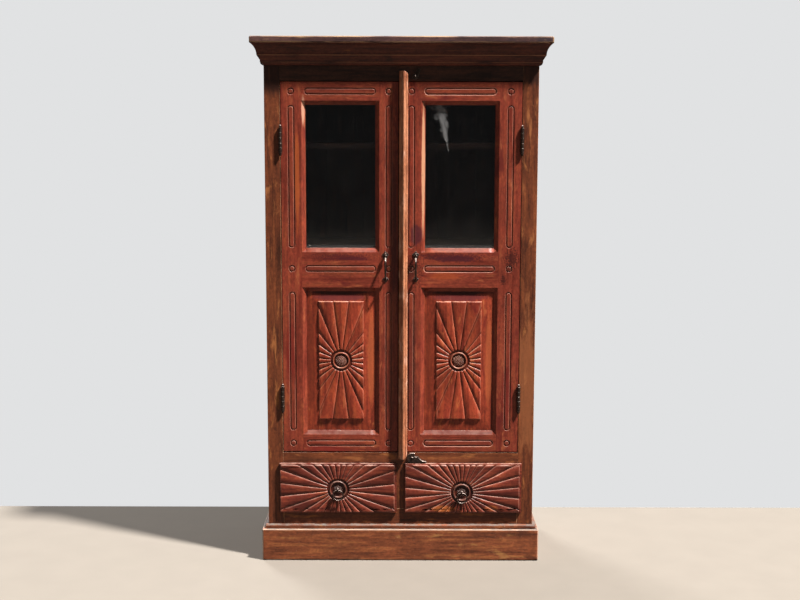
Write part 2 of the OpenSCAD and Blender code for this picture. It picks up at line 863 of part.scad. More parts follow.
module door_stiles(door) {
    pull_x = door[4] < 0 ? left_pull_x : right_pull_x;
    color(door_color) difference() {
        union() {
            block([door[0], door_y, door_z0], [open_from(door), door_back_y, door_z1]);
            block([open_to(door), door_y, door_z0], [door[1], door_back_y, door_z1]);
            for (z = door_opens_z) {
                block([open_from(door) - cut, door_y, z[0]],
                      [open_from(door) + chamfer_w, door_back_y, z[1]]);
                block([open_to(door) - chamfer_w, door_y, z[0]],
                      [open_to(door) + cut, door_back_y, z[1]]);
            }
        }
        door_openings(door);
        door_tenons(door, tenon_fit);
        stile_routs((door[0] + open_from(door)) / 2 + (door[4] > 0 ? strip_rout_shift : 0));
        stile_routs((door[1] + open_to(door)) / 2);
        on_side(door[4]) leaf_recess(hinge_x - leaf_gap / 2 - leaf_t, open_x + cut);
        translate([pull_x, door_back_y + cut, eye_z]) rotate([90, 0, 0])
            cylinder(h = door_t + 2 * cut, r = bolt_r + running_fit);
        translate([pull_x, door_y + stud_shank_l, stud_z]) rotate([90, 0, 0])
            cylinder(h = stud_shank_l + cut, r = stud_shank_r + running_fit);
    }
}

module door_rails(door) {
    x0 = open_from(door);
    x1 = open_to(door);
    color(door_color) {
        difference() {
            union() {
                for (r = door_rails_z) block([x0, door_y, r[0]], [x1, door_back_y, r[1]]);
                for (z = door_opens_z) {
                    block([x0 + chamfer_w, door_y, z[0] - cut],
                          [x1 - chamfer_w, door_back_y, z[0] + chamfer_w]);
                    block([x0 + chamfer_w, door_y, z[1] - chamfer_w],
                          [x1 - chamfer_w, door_back_y, z[1] + cut]);
                }
            }
            door_openings(door);
            facing_front(door_y + rout_d) for (z = rail_rout_zs) translate([0, z, 0])
                rout(x0 + rout_side, x1 - rout_side);
        }
        difference() {
            door_tenons(door);
            block([x0, door_y - cut, door_z0], [x1, door_back_y + cut, door_z1]);
        }
    }
}

module window_glass(door) {
    lap = glass_lap - chamfer_w;
    color(glass_color)
        block([open_from(door) - lap, door_y + glass_inset + glass_fit, window_z0 - lap],
              [open_to(door) + lap, door_y + glass_inset + glass_fit + glass_t, window_z1 + lap]);
}

// Four beads behind the glass: the upright ones run the full height
module glazing_beads(door) {
    lap = glass_lap - chamfer_w;
    x0 = open_from(door) - lap;
    x1 = open_to(door) + lap;
    z0 = window_z0 - lap;
    z1 = window_z1 + lap;
    y0 = door_y + glass_inset + 2 * glass_fit + glass_t;
    color(door_color) {
        block([x0, y0, z0], [x0 + glass_lap, y0 + bead_t, z1]);
        block([x1 - glass_lap, y0, z0], [x1, y0 + bead_t, z1]);
        block([x0 + glass_lap, y0, z0], [x1 - glass_lap, y0 + bead_t, z0 + glass_lap]);
        block([x0 + glass_lap, y0, z1 - glass_lap], [x1 - glass_lap, y0 + bead_t, z1]);
    }
}

// Distance from a rosette's middle to the edge of its field along angle a.
// A field is [left, right, bottom, top] seen from the rosette's middle.
function reach(a, field) = min(
    abs(cos(a)) < 0.0001 ? 1e6 : (cos(a) > 0 ? field[1] : field[0]) / cos(a),
    abs(sin(a)) < 0.0001 ? 1e6 : (sin(a) > 0 ? field[3] : field[2]) / sin(a));

// Place of angle a across its petal, from -0.5 to 0.5 with the petal's crest at 0
function across_petal(a, n) = a * n / 360 - round(a * n / 360);

// Height of the carving at angle a and radius r
function carve_z(a, r, edge, n, boss_r) =
    let (u = abs(2 * across_petal(a, n)),
         groove_d = 2 + (carve_h - 2.2) * min(1, (r - boss_r) / 90),
         end_drop = edge - r < 0.1 ? 1.6 : edge - r < 2 ? 0.5 : 0)
    carve_h - groove_d * pow(u, 4) - end_drop * (1 - 0.4 * pow(u, 4));

// Angle moved into the turn that starts at half a petal below zero
function in_turn(a, n) = a < -180 / n ? a + 360 : a;

// The field's rays: five to a petal, and one to each corner, in order of angle
function field_rays(n, field) =
    let (across = [-0.5, -0.38, -0.14, 0.14, 0.38],
         petals = [for (k = [0 : n - 1], t = across) (k + t) * 360 / n],
         corners = [in_turn(atan2(field[3], field[1]), n), in_turn(atan2(field[3], field[0]), n),
                    in_turn(atan2(field[2], field[0]), n), in_turn(atan2(field[2], field[1]), n)])
    concat([for (a = petals) if (a < corners[0] - 0.2) a], [corners[0]],
           [for (a = petals) if (a > corners[0] + 0.2 && a < corners[1] - 0.2) a], [corners[1]],
           [for (a = petals) if (a > corners[1] + 0.2 && a < corners[2] - 0.2) a], [corners[2]],
           [for (a = petals) if (a > corners[2] + 0.2 && a < corners[3] - 0.2) a], [corners[3]],
           [for (a = petals) if (a > corners[3] + 0.2) a]);

// Sunburst of n petals round a boss, filling a rectangular field, its foot sunk below zero
module sunburst(n, field, boss_r) {
    rays = field_rays(n, field);
    m = len(rays);
    steps = 5;
    foot = -1;
    function ring_at(i, edge) =
        i == 0 ? boss_r - 1 : i == 1 ? boss_r + (edge - boss_r) * 0.35
        : i == 2 ? edge - 4 : i == 3 ? edge - 1.2 : edge;
    tops = [for (i = [0 : steps - 1], a = rays) let (edge = reach(a, field), r = ring_at(i, edge))
        [r * cos(a), r * sin(a), carve_z(a, r, edge, n, boss_r)]];
    feet = [for (a = rays) let (r = reach(a, field)) [r * cos(a), r * sin(a), foot]];
    points = concat(tops, feet, [[0, 0, carve_h - 2], [0, 0, foot]]);
    top_mid = (steps + 1) * m;
    polyhedron(points, concat(
        [for (j = [0 : m - 1]) [top_mid, (j + 1) % m, j]],
        [for (i = [0 : steps - 1], j = [0 : m - 1]) let (k = (j + 1) % m)
            [i * m + j, i * m + k, (i + 1) * m + k]],
        [for (i = [0 : steps - 1], j = [0 : m - 1]) let (k = (j + 1) % m)
            [i * m + j, (i + 1) * m + k, (i + 1) * m + j]],
        [for (j = [0 : m - 1]) [top_mid + 1, steps * m + j, steps * m + (j + 1) % m]]));
}

// Ring and hatched dome in the middle of a sunburst
module rosette_boss(boss_r) {
    hatch_n = 3;
    hatch_pitch = 3.5;
    hatch_w = 0.8;
    dome_foot = 2;
    cylinder(h = carve_h - 1.5, r = boss_r);
    rotate_extrude() translate([boss_r - rosette_ring_w / 2, carve_h - 2])
        circle(rosette_ring_w / 2);
    difference() {
        translate([0, 0, dome_foot]) dome(rosette_dome_r, dome_h - dome_foot);
        for (turn = [-45, 45], k = [-hatch_n : hatch_n]) rotate(turn)
            translate([k * hatch_pitch - hatch_w / 2, -rosette_dome_r, dome_h - 1 - k * k * 0.2])
                cube([hatch_w, 2 * rosette_dome_r, dome_h]);
    }
}

// Raised panel with a plain bevel round a carved field
module carved_panel(door) {
    side_gap = 1;
    x0 = open_from(door) + chamfer_w + side_gap;
    x1 = open_to(door) - chamfer_w - side_gap;
    z0 = panel_z0 + chamfer_w + side_gap;
    z1 = panel_z1 - chamfer_w - side_gap;
    lap = panel_lap + side_gap;
    tongue_y = door_y + panel_inset;
    field_y = tongue_y - bevel_rise;
    mid_x = (x0 + x1) / 2;
    field_z0 = z0 + bevel_bottom_w;
    field_z1 = z1 - bevel_top_w;
    field_x = (x1 - x0) / 2 - bevel_side_w;
    field_z = (field_z1 - field_z0) / 2;
    color(door_color) {
        block([x0 - lap, tongue_y, z0 - lap], [x1 + lap, tongue_y + panel_tongue_t, z1 + lap]);
        intersection() {
            translate([mid_x, 0, z0]) linear_extrude(z1 - z0)
                polygon([[-field_x, field_y], [field_x, field_y],
                         [x1 - mid_x, tongue_y], [x1 - mid_x, tongue_y + 1],
                         [x0 - mid_x, tongue_y + 1], [x0 - mid_x, tongue_y]]);
            translate([x0, 0, 0]) rotate([90, 0, 90]) linear_extrude(x1 - x0)
                polygon([[field_y, field_z0], [field_y, field_z1], [tongue_y, z1],
                         [tongue_y + 1, z1], [tongue_y + 1, z0], [tongue_y, z0]]);
        }
        translate([mid_x, field_y, (field_z0 + field_z1) / 2]) rotate([90, 0, 0]) {
            sunburst(door_petals, [-field_x, field_x, -field_z, field_z], door_rosette_r);
            rosette_boss(door_rosette_r);
        }
    }
}

// Strip's section: a flat bevel on the left and two beads on the right
module strip_section() {
    bead_r = strip_out / 5;
    edge_bead_r = bead_r + 0.6;
    polygon([[0, 0], [strip_w, 0], [strip_w, strip_out - bead_r - edge_bead_r],
             [strip_w - edge_bead_r, strip_out - bead_r - 1],
             [strip_w / 2, strip_out - 1], [strip_w / 2 - 2, strip_out - 1], [0, strip_out / 2]]);
    translate([strip_w / 2 + 1, strip_out - bead_r]) circle(bead_r);
    translate([strip_w - edge_bead_r, strip_out - bead_r - edge_bead_r]) circle(edge_bead_r);
}

module cover_strip() {
    x0 = RIGHT_DOOR[0] - strip_lap;
    z0 = door_z0 - strip_below;
    z1 = door_z1 + strip_above;
    r = strip_corner_r;
    color(strip_color) intersection() {
        translate([x0, door_y, z0]) mirror([0, 1, 0]) linear_extrude(z1 - z0) strip_section();
        facing_front(door_y) linear_extrude(strip_out + cut) translate([x0, 0]) {
            translate([0, z0]) square([strip_w - r, z1 - z0]);
            translate([0, z0 + r]) square([strip_w, z1 - z0 - 2 * r]);
            for (z = [z0 + r, z1 - r]) translate([strip_w - r, z]) circle(r);
        }
    }
}

// Eye bolt with its diamond plate and nut, and the plate and stud under the pull's ball
module pull_fittings(x) {
    bolt_y = pull_y + eye_r - eye_wire_r / 3;
    color(iron_color) {
        translate([x, pull_y, eye_z]) rotate([0, 90, 0]) wire_ring(eye_r, eye_wire_r);
        translate([x, 0, eye_z]) {
            translate([0, bolt_y, 0]) rotate([-90, 0, 0])
                cylinder(h = door_back_y + nut_t - bolt_y, r = bolt_r);
            facing_front(door_y) rotate(45) linear_extrude(plate_t)
                square(pull_plate_w, center = true);
            facing_front(door_back_y + nut_t) linear_extrude(nut_t) circle(nut_r, $fn = 6);
        }
        translate([x, 0, stud_z]) {
            facing_front(door_y) rotate(45) linear_extrude(plate_t)
                square(stud_plate_w, center = true);
            facing_front(door_y) dome(stud_r, door_y - pull_y - pull_ball_r - running_gap);
            facing_front(door_y + stud_shank_l - 0.5)
                cylinder(h = stud_shank_l, r = stud_shank_r);
        }
    }
}

// Quarter bend of round wire, standing in Y and Z, that starts at angle a
module elbow(r, wire_r, a) {
    rotate([90, 0, 90]) rotate(a) rotate_extrude(angle = 90) translate([r, 0]) circle(wire_r);
}

// Iron drop: a ring, a bar that bows out to the front and a ball, hanging from its pivot
module drop_pull(x) {
    neck_z = 2 * pull_ring_r;
    low_bar_r = pull_bar_r - 0.6;
    low_bend_r = 12;
    low_z = pull_l - pull_ball_r;
    color(iron_color) translate([x, pull_y, pull_z]) {
        translate([0, 0, -pull_ring_r]) rotate([90, 0, 0]) wire_ring(pull_ring_r, pull_wire_r);
        translate([0, 0, -neck_z]) sphere(pull_bar_r);
        translate([0, 0, -neck_z - pull_bow]) elbow(pull_bow, pull_bar_r, 90);
        translate([0, -pull_bow, low_bend_r - low_z])
            cylinder(h = low_z - low_bend_r - neck_z - pull_bow, r1 = low_bar_r, r2 = pull_bar_r);
        translate([0, low_bend_r - pull_bow, low_bend_r - low_z]) elbow(low_bend_r, low_bar_r, 180);
        translate([0, 0, -low_z]) {
            rotate([90, 0, 0]) cylinder(h = pull_bow - low_bend_r, r = low_bar_r);
            sphere(pull_ball_r);
        }
    }
}

// A drawer's front: the carved lip, the block inside the opening and its joints
module drawer_front(drawer) {
    inner_y = front_y + drawer_back_t;
    color(drawer_color) difference() {
        union() {
            block([drawer[2], lip_base_y, lip_z0], [drawer[3], lip_back_y, lip_z1]);
            block([drawer[0] + drawer_gap, lip_back_y - cut, box_z0],
                  [drawer[1] - drawer_gap, inner_y, drawer_z1 - drawer_gap]);
            translate([drawer[4], lip_base_y, drawer[5]]) rotate([90, 0, 0]) {
                sunburst(drawer[6], [drawer[2] - drawer[4], drawer[3] - drawer[4],
                                     lip_z0 - drawer[5], lip_z1 - drawer[5]], drawer_rosette_r);
                rosette_boss(drawer_rosette_r);
            }
        }
        drawer_sides(drawer, tenon_fit);
        drawer_panel(drawer, tenon_fit);
        translate([drawer[4], inner_y + cut, drawer[5] + staple_rise]) rotate([90, 0, 0])
            cylinder(h = drawer_back_t + drawer_lip_t + 20, r = bolt_r + running_fit);
    }
}

// Both sides of a drawer, housed in the back of its front
module drawer_sides(drawer, gap = 0) {
    x0 = drawer[0] + drawer_gap;
    x1 = drawer[1] - drawer_gap;
    for (x = [x0, x1 - drawer_side_t])
        block([x - (x == x0 ? 2 * gap : gap), front_y + drawer_back_t / 2 - gap, box_z0 - 2 * gap],
              [x + drawer_side_t + (x == x0 ? gap : 2 * gap), box_y1, box_z0 + drawer_side_h + gap]);
}

// A drawer's bottom, in grooves all round and under the back
module drawer_panel(drawer, gap = 0) {
    inset = drawer_gap + drawer_side_t - drawer_groove_d;
    z = box_z0 + drawer_groove_z;
    block([drawer[0] + inset - gap, front_y + drawer_back_t - drawer_groove_d - gap, z - gap],
          [drawer[1] - inset + gap, box_y1 + 2 * gap, z + drawer_bottom_t + gap]);
}

module drawer_box(drawer) {
    x0 = drawer[0] + drawer_gap + drawer_side_t;
    x1 = drawer[1] - drawer_gap - drawer_side_t;
    color(inside_color) {
        difference() {
            drawer_sides(drawer);
            drawer_panel(drawer, tenon_fit);
        }
        block([x0, box_y1 - drawer_side_t, box_z0 + drawer_groove_z + drawer_bottom_t + tenon_fit],
              [x1, box_y1, box_z0 + drawer_side_h]);
    }
}

module drawer_bottom(drawer) {
    color(inside_color) drawer_panel(drawer);
}

module drawer_staple(drawer) {
    color(iron_color) translate([drawer[4], 0, drawer[5] + staple_rise]) {
        translate([0, staple_y, 0]) rotate([0, 90, 0]) wire_ring(staple_r, staple_wire_r);
        translate([0, staple_y + staple_r, 0]) rotate([-90, 0, 0])
            cylinder(h = front_y + drawer_back_t + nut_t - staple_y - staple_r, r = bolt_r);
        facing_front(front_y + drawer_back_t + nut_t) linear_extrude(nut_t)
            circle(nut_r, $fn = 6);
    }
}

module drawer_ring(drawer) {
    ring_z = drawer[5] + staple_rise - staple_drop - ring_r;
    color(iron_color) translate([drawer[4], staple_y, ring_z])
        rotate([90, 0, 0]) wire_ring(ring_r, ring_wire_r);
}

module screw_hole(x, z) {
    translate([x, front_y + screw_l + cut, z]) rotate([90, 0, 0])
        cylinder(h = screw_l + 2 * cut, r = button_screw_r + running_fit);
}

// Round-headed screw that a button turns on
module button_screw(x, z, t) {
    head_y = button_back_y - t - running_gap;
    translate([x, front_y + screw_l, z]) rotate([90, 0, 0])
        cylinder(h = front_y + screw_l - head_y + cut, r = button_screw_r);
    translate([x, head_y, z]) rotate([90, 0, 0]) dome(screw_head_r, screw_head_h);
}

module button_screws() {
    color(iron_color) {
        button_screw(low_button_x, low_button_z, low_button_t);
        button_screw(high_button_x, high_button_z, high_button_t);
    }
}

// Thickness and bore that both buttons share; the outline is drawn round the screw
module turn_button(x, z, t) {
    color(iron_color) translate([x, button_back_y, z]) rotate([90, 0, 0]) difference() {
        union() {
            linear_extrude(t) children();
            translate([0, 0, -door_proud]) cylinder(h = door_proud + cut, r = button_boss_r);
        }
        translate([0, 0, -door_proud - cut])
            cylinder(h = t + door_proud + 2 * cut, r = button_screw_r + running_fit);
    }
}

// Bottom button, lying on its side: a round end, a lower second hump and a long tip
module low_turn_button() {
    foot = 2 - low_button_r;
    hump_z = 7;
    tip_t = 3;
    hollow_r = 29;
    notch_r = 6.5;
    turn_button(low_button_x, low_button_z, low_button_t) difference() {
        union() {
            circle(low_button_r);
            translate([0, foot]) square([low_button_l, hump_z - foot]);
        }
        translate([low_button_l, foot + tip_t + hollow_r]) circle(hollow_r);
        translate([12.5, hump_z + 2.5]) circle(notch_r);
    }
}

// Top button, leaning from upright: a round end and a short tapering tip
module high_turn_button() {
    tip_w = 7;
    turn_button(high_button_x, high_button_z, high_button_t) rotate(-high_button_lean) {
        circle(high_button_r);
        polygon([[-high_button_r * 0.96, 2], [high_button_r * 0.96, 2],
                 [tip_w / 2, high_button_l], [-tip_w / 2, high_button_l]]);
    }
}

front_post(-1);  // front_post_left
front_post(1);  // front_post_right
back_posts();
frieze_rail();
middle_rail();
bottom_rail();
drawer_divider();
side_rails_on(-1);  // side_rails_left
side_rails_on(1);  // side_rails_right
side_panels_on(-1);  // side_panels_left
side_panels_on(1);  // side_panels_right
back_rails();
back_boards();
top_board();
cornice_front();
cornice_returns();
plinth_front();
plinth_returns();
plinth_moulding();
cabinet_floor();
shelves();
shelf_cleats();
drawer_runners();
drawer_guides();
post_hinge_leaves();
hinge_pins();
button_screws();
door_stiles(LEFT_DOOR);  // left_door_stiles
door_rails(LEFT_DOOR);  // left_door_rails
window_glass(LEFT_DOOR);  // left_window_glass
glazing_beads(LEFT_DOOR);  // left_glazing_beads
carved_panel(LEFT_DOOR);  // left_carved_panel
door_hinge_leaves(-1);  // left_door_hinge_leaves
pull_fittings(left_pull_x);  // left_pull_fittings
door_stiles(RIGHT_DOOR);  // right_door_stiles
door_rails(RIGHT_DOOR);  // right_door_rails
window_glass(RIGHT_DOOR);  // right_window_glass
glazing_beads(RIGHT_DOOR);  // right_glazing_beads
carved_panel(RIGHT_DOOR);  // right_carved_panel
door_hinge_leaves(1);  // right_door_hinge_leaves
pull_fittings(right_pull_x);  // right_pull_fittings
cover_strip();
drawer_front(LEFT_DRAWER);  // left_drawer_front
drawer_box(LEFT_DRAWER);  // left_drawer_box
drawer_bottom(LEFT_DRAWER);  // left_drawer_bottom
drawer_staple(LEFT_DRAWER);  // left_drawer_staple
drawer_front(RIGHT_DRAWER);  // right_drawer_front
drawer_box(RIGHT_DRAWER);  // right_drawer_box
drawer_bottom(RIGHT_DRAWER);  // right_drawer_bottom
drawer_staple(RIGHT_DRAWER);  // right_drawer_staple
drop_pull(left_pull_x);  // left_drop_pull
drop_pull(right_pull_x);  // right_drop_pull
drawer_ring(LEFT_DRAWER);  // left_drawer_ring
drawer_ring(RIGHT_DRAWER);  // right_drawer_ring
low_turn_button();
high_turn_button();
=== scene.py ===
"""Looks of a carved hardwood display cabinet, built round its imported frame.

Lengths in the classes are millimetres, as a joiner would note them. X runs
along the front, Y from the front to the back and Z up.
"""

import logging
import math
from collections.abc import Callable, Sequence
from dataclasses import dataclass
from enum import Enum
from functools import cached_property

import bmesh
import bpy
from bmesh.types import BMEdge, BMesh
from bpy.types import Material, Node, NodeSocket, NodeTree
from mathutils import Matrix, Vector, noise


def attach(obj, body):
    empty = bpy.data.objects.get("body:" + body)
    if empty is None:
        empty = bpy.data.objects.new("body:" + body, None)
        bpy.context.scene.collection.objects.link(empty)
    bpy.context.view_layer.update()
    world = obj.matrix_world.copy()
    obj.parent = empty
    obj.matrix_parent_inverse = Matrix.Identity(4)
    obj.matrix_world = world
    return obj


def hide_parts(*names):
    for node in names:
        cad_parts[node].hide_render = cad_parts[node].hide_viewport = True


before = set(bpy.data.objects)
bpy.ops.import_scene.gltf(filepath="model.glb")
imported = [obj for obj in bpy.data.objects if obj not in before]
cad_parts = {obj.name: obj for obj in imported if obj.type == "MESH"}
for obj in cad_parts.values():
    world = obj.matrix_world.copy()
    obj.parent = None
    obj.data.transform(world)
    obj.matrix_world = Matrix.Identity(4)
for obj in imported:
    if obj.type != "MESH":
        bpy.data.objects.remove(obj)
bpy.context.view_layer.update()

LOG = logging.getLogger("cabinet")
MM = 0.001
X, Y, Z = range(3)
NodeInput = float | str | Sequence[float] | NodeSocket | Node


class Grain(Enum):
    """The axis that a board's grain runs along."""

    ACROSS = X
    INWARD = Y
    UPRIGHT = Z


class Slot(Enum):
    """The record's material slots."""

    POST = "post_wood"
    DOOR = "door_wood"
    DRAWER = "drawer_wood"
    STRIP = "strip_wood"
    PLINTH = "plinth_wood"
    CORNICE = "cornice_wood"


def linear(code: str) -> tuple[float, float, float, float]:
    """Turns an sRGB hex colour into linear light.

    Args:
        code: The colour, such as "#9c4a30".

    Returns:
        Red, green, blue and an alpha of 1.
    """
    parts = [int(code[i:i + 2], 16) / 255 for i in (1, 3, 5)]
    red, green, blue = (
        c / 12.92 if c <= 0.04045 else ((c + 0.055) / 1.055) ** 2.4 for c in parts
    )
    return red, green, blue, 1.0


def add(
    tree: NodeTree,
    kind: str,
    inputs: dict[str | int, NodeInput] | None = None,
    stops: Sequence[tuple[float, str]] = (),
    **settings: object,
) -> Node:
    """Adds one shader node with its settings and links.

    Args:
        tree: The material's or the world's node tree.
        kind: The node's type, without its "ShaderNode" start.
        inputs: Each input's value or colour code, or the socket or node that feeds it; of a
            node it is the first output.
        stops: A colour ramp's stops, each a position and a colour code.
        settings: The node's own properties.

    Returns:
        The new node.
    """
    node = tree.nodes.new("ShaderNode" + kind)
    for name, value in settings.items():
        setattr(node, name, value)
    for position, code in stops:
        stop = node.color_ramp.elements.new(position)
        stop.color = linear(code)
    if stops:
        node.color_ramp.elements.remove(node.color_ramp.elements[0])
        node.color_ramp.elements.remove(node.color_ramp.elements[-1])
    for key, value in (inputs or {}).items():
        if isinstance(value, Node):
            value = value.outputs[0]
        if isinstance(value, NodeSocket):
            tree.links.new(value, node.inputs[key])
        elif isinstance(value, str):
            node.inputs[key].default_value = linear(value)
        else:
            node.inputs[key].default_value = value
    return node


def blank_material(name: str) -> tuple[Material, NodeTree]:
    """Makes a material with an empty node tree.

    Args:
        name: The material's name.

    Returns:
        The material and its tree.
    """
    material = bpy.data.materials.new(name)
    material.use_nodes = True
    material.node_tree.nodes.clear()
    return material, material.node_tree


@dataclass(frozen=True)
class Stain:
    """A soft-edged patch of another colour on a board.

    Args:
        at: Its middle, in millimetres.
        size: Its half width along X, Y and Z, in millimetres.
        color: Its colour code.
        amount: How much of it covers the wood, from 0 to 1.
        ragged: How far noise breaks its edge; from 2 on it is a scatter of dots.
        specked: Whether fine noise breaks it, not the grain's patches.
    """

    at: tuple[float, float, float]
    size: tuple[float, float, float]
    color: str
    amount: float
    ragged: float = 0.6
    specked: bool = False

    # Where its edge starts and ends, as shares of its size
    edge = (0.55, 1.0)

    def lay(
        self, tree: NodeTree, place: NodeInput, rough: NodeInput, color: NodeInput
    ) -> NodeSocket:
        """Lays the stain over a colour.

        Args:
            tree: The material's tree.
            place: The Object coordinates.
            rough: A noise value from 0 to 1 that breaks the edge.
            color: The colour below.

        Returns:
            The colour with the stain on it.
        """
        local = add(tree, "VectorMath", {0: place, 1: Vector(self.at) * MM}, operation="SUBTRACT")
        scaled = add(tree, "VectorMath", {0: local, 1: Vector(self.size) * MM}, operation="DIVIDE")
        far = add(tree, "VectorMath", {0: scaled}, operation="LENGTH")
        broken = add(tree, "Math", {
            0: rough, 1: 2 * self.ragged, 2: far.outputs["Value"],
        }, operation="MULTIPLY_ADD")
        cover = add(tree, "MapRange", {
            "Value": broken, "From Min": self.edge[0] + self.ragged,
            "From Max": self.edge[1] + self.ragged, "To Min": self.amount, "To Max": 0.0,
        }, interpolation_type="SMOOTHSTEP")
        return add(tree, "Mix", {0: cover, 6: color, 7: self.color}, data_type="RGBA").outputs[2]


@dataclass(frozen=True)
class Pattern:
    """Noise that follows the grain.

    Args:
        across_mm: Its size across the grain.
        along_mm: Its size along the grain.
        detail: The number of finer layers.
        shift: Moves it away from the other patterns.
        distortion: How much it bends itself.
    """

    across_mm: float
    along_mm: float
    detail: float
    shift: float = 0.0
    distortion: float = 0.0


@dataclass(frozen=True)
class WoodFinish:
    """Old polished hardwood: streaked by its grain and worn at its edges.

    Args:
        name: The material's name.
        grain: The axis that the grain runs along.
        base: The main colour.
        dark: The colour of the dark streaks.
        light: The colour of the light streaks.
        bare: The colour where the polish has worn off.
        bare_cover: How much of the face is bare, from 0 to 1.
        arris: The colour of the worn edges.
        arris_wear: How much of each edge is worn, from 0 to 1.
        grime_and_shade: The colour of the dirt in specks, and of the dirt and painted shade in
            corners and grooves.
        tint: The colour of the deeper dye that has stayed in places.
        tint_cover: How much of the face holds it, from 0 to 1.
        dust_and_highlight: The colour on the faces that look up: dusting, and a painted highlight.
        dust_and_highlight_cover: How thickly that dusting and painted highlight lie, from 0 to 1.
        roughness: The roughness of the sound polish.
        shine: How much light the polish mirrors; 0.5 is a new one.
        chipped: How many pale chips the face has, from 0 to 1.
        stains: Patches of other colours.
    """

    name: str
    grain: Grain
    base: str
    dark: str
    light: str
    bare: str
    bare_cover: float
    arris: str
    arris_wear: float
    grime_and_shade: str
    tint: str = "#43170f"
    tint_cover: float = 0.35
    dust_and_highlight: str = "#d3b5a5"
    dust_and_highlight_cover: float = 0.6
    roughness: float = 0.42
    shine: float = 0.3
    chipped: float = 0.0
    stains: tuple[Stain, ...] = ()

    streaks = Pattern(11.0, 150.0, 6, 0.0, 0.3)
    patches = Pattern(20.0, 90.0, 8, 3.7, 0.4)
    pores = Pattern(1.3, 18.0, 3, 7.1)
    blotches = Pattern(130.0, 130.0, 5, 11.3)
    mottle = Pattern(7.0, 13.0, 5, 31.1, 0.8)
    specks = Pattern(5.0, 5.0, 3, 5.9)
    dyed = Pattern(55.0, 160.0, 7, 17.9, 0.6)
    drift = Pattern(24.0, 24.0, 5, 23.3)
    noise_roughness = 0.62
    # The streaks' values that have the dark, the main and the light colour
    streak_stops = (0.30, 0.50, 0.72)
    # The values between which a pattern darkens and lightens, and by how much
    blotch_shade = (0.30, 0.72, 0.72, 1.22)
    mottle_shade = (0.34, 0.66, 0.70, 1.26)
    # The values from which dye, bare wood and wear show at no cover, and what full cover adds
    dye_from = 0.72
    bare_from = 0.74
    worn_from = 0.72
    face_reach = 0.34
    arris_reach = 0.4
    # The values between which a layer goes from none to its most, and where fixed, that most
    dye_span = (0.10, 0.8)
    bare_span = (0.09, 0.85)
    worn_span = 0.12
    pore_span = (0.58, 0.72, 0.4)
    speck_span = (0.665, 0.725, 0.7)
    chip_span = (0.335, 0.30, 0.7)
    dirt_and_shade_span = (0.80, 0.30, 0.92)
    open_span = (0.38, 0.66)
    upward_span = (0.32, 0.66)
    drift_span = (0.34, 0.60)
    edge_mm = 1.2
    edge_samples = 6
    crevice_mm = 9.0
    crevice_samples = 8
    relief_mm = 0.5
    relief = 0.6
    pore_relief = 0.25
    tone_step = 0.22
    bare_dullness = 0.25
    ior = 1.5

    def noise(self, tree: NodeTree, place: NodeInput, pattern: Pattern) -> NodeSocket:
        """Adds a pattern at its real size.

        Args:
            tree: The material's tree.
            place: The Object coordinates.
            pattern: The pattern.

        Returns:
            The noise, from 0 to 1.
        """
        scale = [1 / (pattern.across_mm * MM)] * 3
        scale[self.grain.value] = 1 / (pattern.along_mm * MM)
        mapped = add(tree, "Mapping", {
            "Vector": place, "Location": [pattern.shift] * 3, "Scale": scale,
        })
        return add(tree, "TexNoise", {
            "Vector": mapped, "Scale": 1.0, "Detail": pattern.detail,
            "Roughness": self.noise_roughness, "Distortion": pattern.distortion,
        }).outputs["Fac"]

    def lay(
        self,
        tree: NodeTree,
        below: NodeInput,
        color: str,
        value: NodeInput,
        low: float,
        high: float,
        most: NodeInput,
    ) -> NodeSocket:
        """Lays another colour where a pattern is strong.

        Args:
            tree: The material's tree.
            below: The colour below.
            color: The colour on top.
            value: The pattern.
            low: The value with no cover.
            high: The value with full cover.
            most: What full cover hides, from 0 to 1.

        Returns:
            The new colour.
        """
        cover = add(tree, "MapRange", {
            "Value": value, "From Min": low, "From Max": high, "To Max": most,
        })
        return add(tree, "Mix", {0: cover, 6: below, 7: color}, data_type="RGBA").outputs[2]

    def build(self) -> Material:
        """Builds the material."""
        material, tree = blank_material(self.name)
        place = add(tree, "TexCoord").outputs["Object"]
        streaks, patches, pores, blotches, mottle, specks, dyed, drift = (
            self.noise(tree, place, pattern) for pattern in (
                self.streaks, self.patches, self.pores, self.blotches, self.mottle,
                self.specks, self.dyed, self.drift,
            )
        )
        color = add(tree, "ValToRGB", {"Fac": streaks}, stops=tuple(
            zip(self.streak_stops, (self.dark, self.base, self.light))
        )).outputs["Color"]
        for pattern, (low, high, least, most) in (
            (blotches, self.blotch_shade), (mottle, self.mottle_shade),
        ):
            shade = add(tree, "MapRange", {
                "Value": pattern, "From Min": low, "From Max": high, "To Min": least,
                "To Max": most,
            })
            color = add(tree, "Mix", {
                0: 1.0, 6: color, 7: shade,
            }, data_type="RGBA", blend_type="MULTIPLY").outputs[2]
        dye = self.dye_from - self.face_reach * self.tint_cover
        bare = self.bare_from - self.face_reach * self.bare_cover
        for code, pattern, low, (span, most) in (
            (self.tint, dyed, dye, self.dye_span), (self.bare, patches, bare, self.bare_span),
        ):
            color = self.lay(tree, color, code, pattern, low, low + span, most)
        for stain in self.stains:
            color = stain.lay(tree, place, specks if stain.specked else patches, color)

